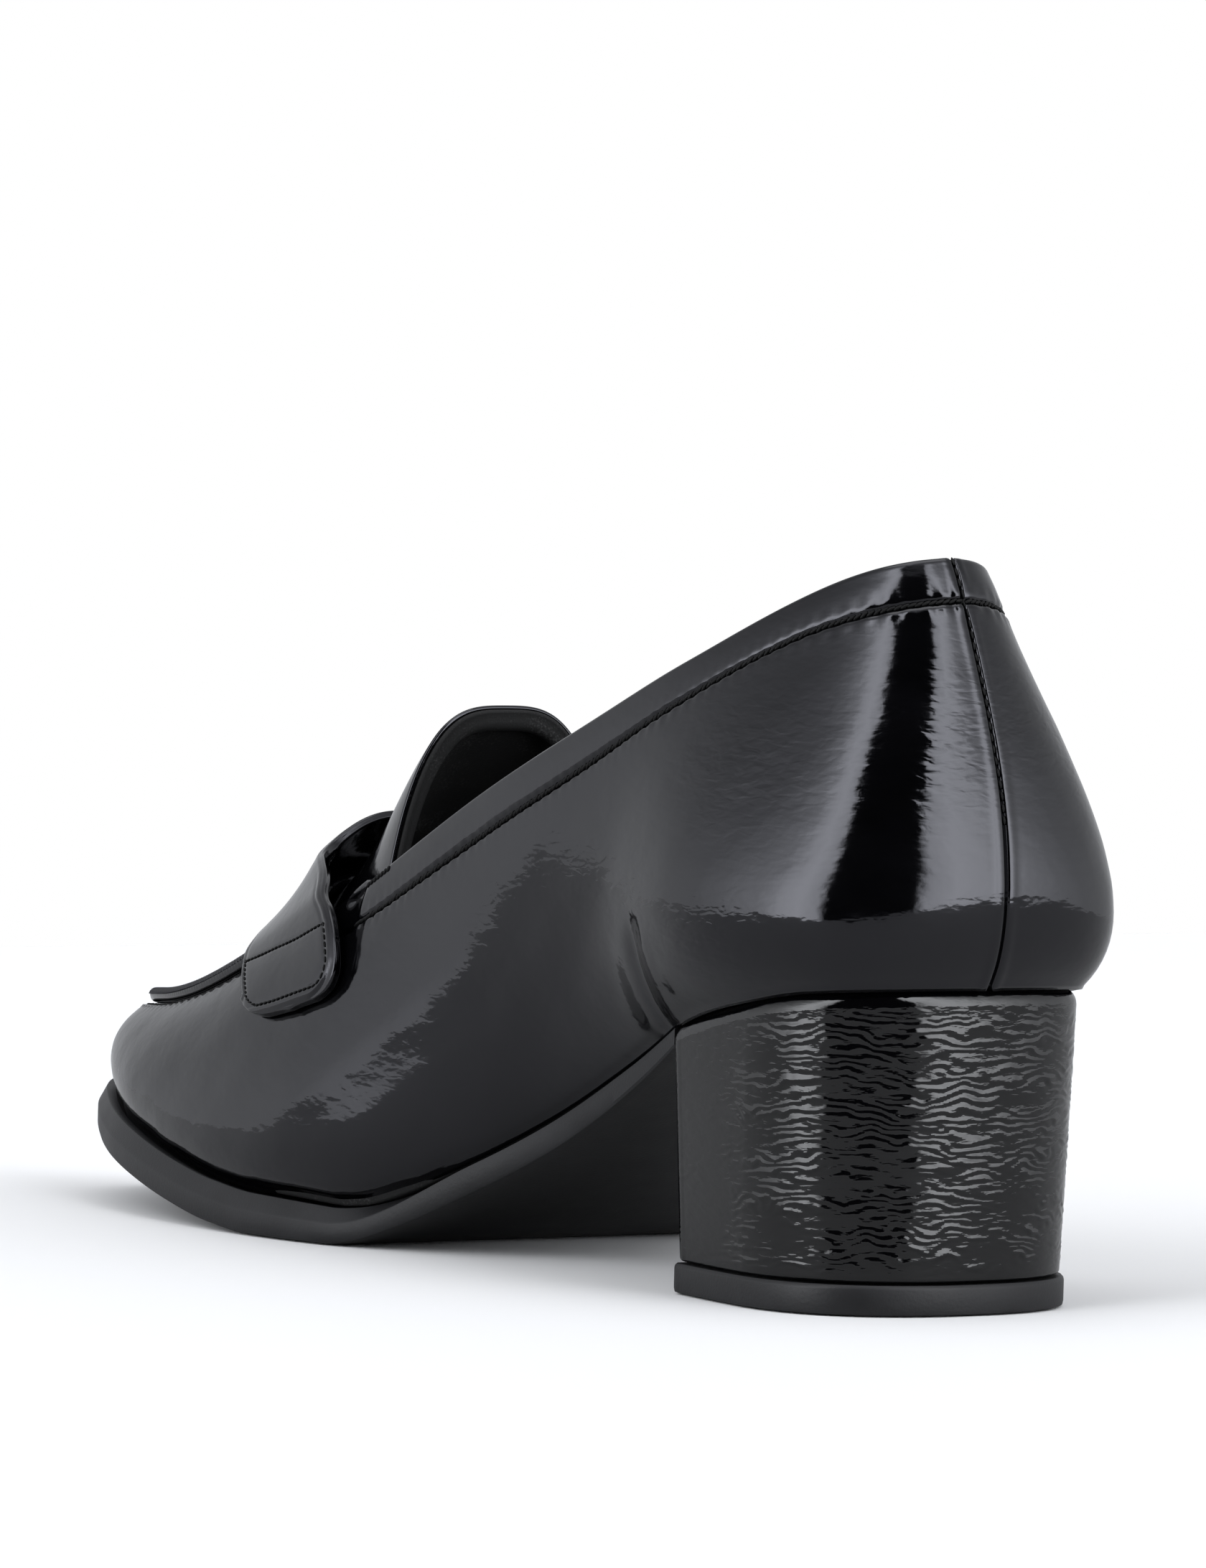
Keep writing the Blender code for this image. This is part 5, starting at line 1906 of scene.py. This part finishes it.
class LOAFER_OT_sole(bpy.types.Operator):
    """Makes the outsole and the insole"""

    bl_idname = "loafer.sole"
    bl_label = "Sole"

    def execute(self, context):
        make_outsole(context.scene.loafer_sizes)
        make_insole()
        return {"FINISHED"}


class LOAFER_OT_heel(bpy.types.Operator):
    """Makes the heel cover and the top piece"""

    bl_idname = "loafer.heel"
    bl_label = "Heel"

    def execute(self, context):
        make_heel_cover(context.scene.loafer_sizes)
        make_top_piece()
        return {"FINISHED"}


class LOAFER_OT_stitching(bpy.types.Operator):
    """Sews the collar, back, throat, strap and apron"""

    bl_idname = "loafer.stitching"
    bl_label = "Stitching"

    def execute(self, context):
        sizes = context.scene.loafer_sizes
        make_collar_stitching(sizes)
        make_back_stitching(sizes)
        make_throat_stitching(sizes)
        make_strap_stitching(sizes)
        make_apron_stitching(sizes)
        return {"FINISHED"}


class LOAFER_OT_stage(bpy.types.Operator):
    """Makes the floor, the lights, the pale surroundings and the camera"""

    bl_idname = "loafer.stage"
    bl_label = "Stage"

    def execute(self, context):
        stage = context.scene.loafer_stage
        make_floor(stage)
        make_sky(stage)
        make_top_light(stage)
        make_camera()
        context.scene.view_settings.view_transform = "Standard"
        return {"FINISHED"}


PIECES = (
    LOAFER_OT_upper,
    LOAFER_OT_apron,
    LOAFER_OT_strap,
    LOAFER_OT_tongue,
    LOAFER_OT_sole,
    LOAFER_OT_heel,
    LOAFER_OT_stitching,
)


class LOAFER_PT_panel(bpy.types.Panel):
    """Lists the loafer's pieces and settings"""

    bl_label = "Loafer pump"
    bl_idname = "LOAFER_PT_panel"
    bl_space_type = "VIEW_3D"
    bl_region_type = "UI"
    bl_category = "Loafer pump"

    def draw(self, context):
        for made in (*PIECES, LOAFER_OT_stage):
            self.layout.operator(made.bl_idname)
        for settings in (context.scene.loafer_sizes, context.scene.loafer_looks, context.scene.loafer_stage):
            box = self.layout.box()
            for key in settings.__annotations__:
                box.prop(settings, key)


CLASSES = (LoaferSizes, LoaferLooks, LoaferStage, *PIECES, LOAFER_OT_stage, LOAFER_PT_panel)


def register():
    for made in CLASSES:
        bpy.utils.register_class(made)
    bpy.types.Scene.loafer_sizes = PointerProperty(type=LoaferSizes)
    bpy.types.Scene.loafer_looks = PointerProperty(type=LoaferLooks)
    bpy.types.Scene.loafer_stage = PointerProperty(type=LoaferStage)


def unregister():
    del bpy.types.Scene.loafer_stage
    del bpy.types.Scene.loafer_looks
    del bpy.types.Scene.loafer_sizes
    for made in reversed(CLASSES):
        bpy.utils.unregister_class(made)


def main():
    register()
    for made in (*PIECES, LOAFER_OT_stage):
        group, name = made.bl_idname.split(".")
        getattr(getattr(bpy.ops, group), name)()


if __name__ == "__main__":
    main()
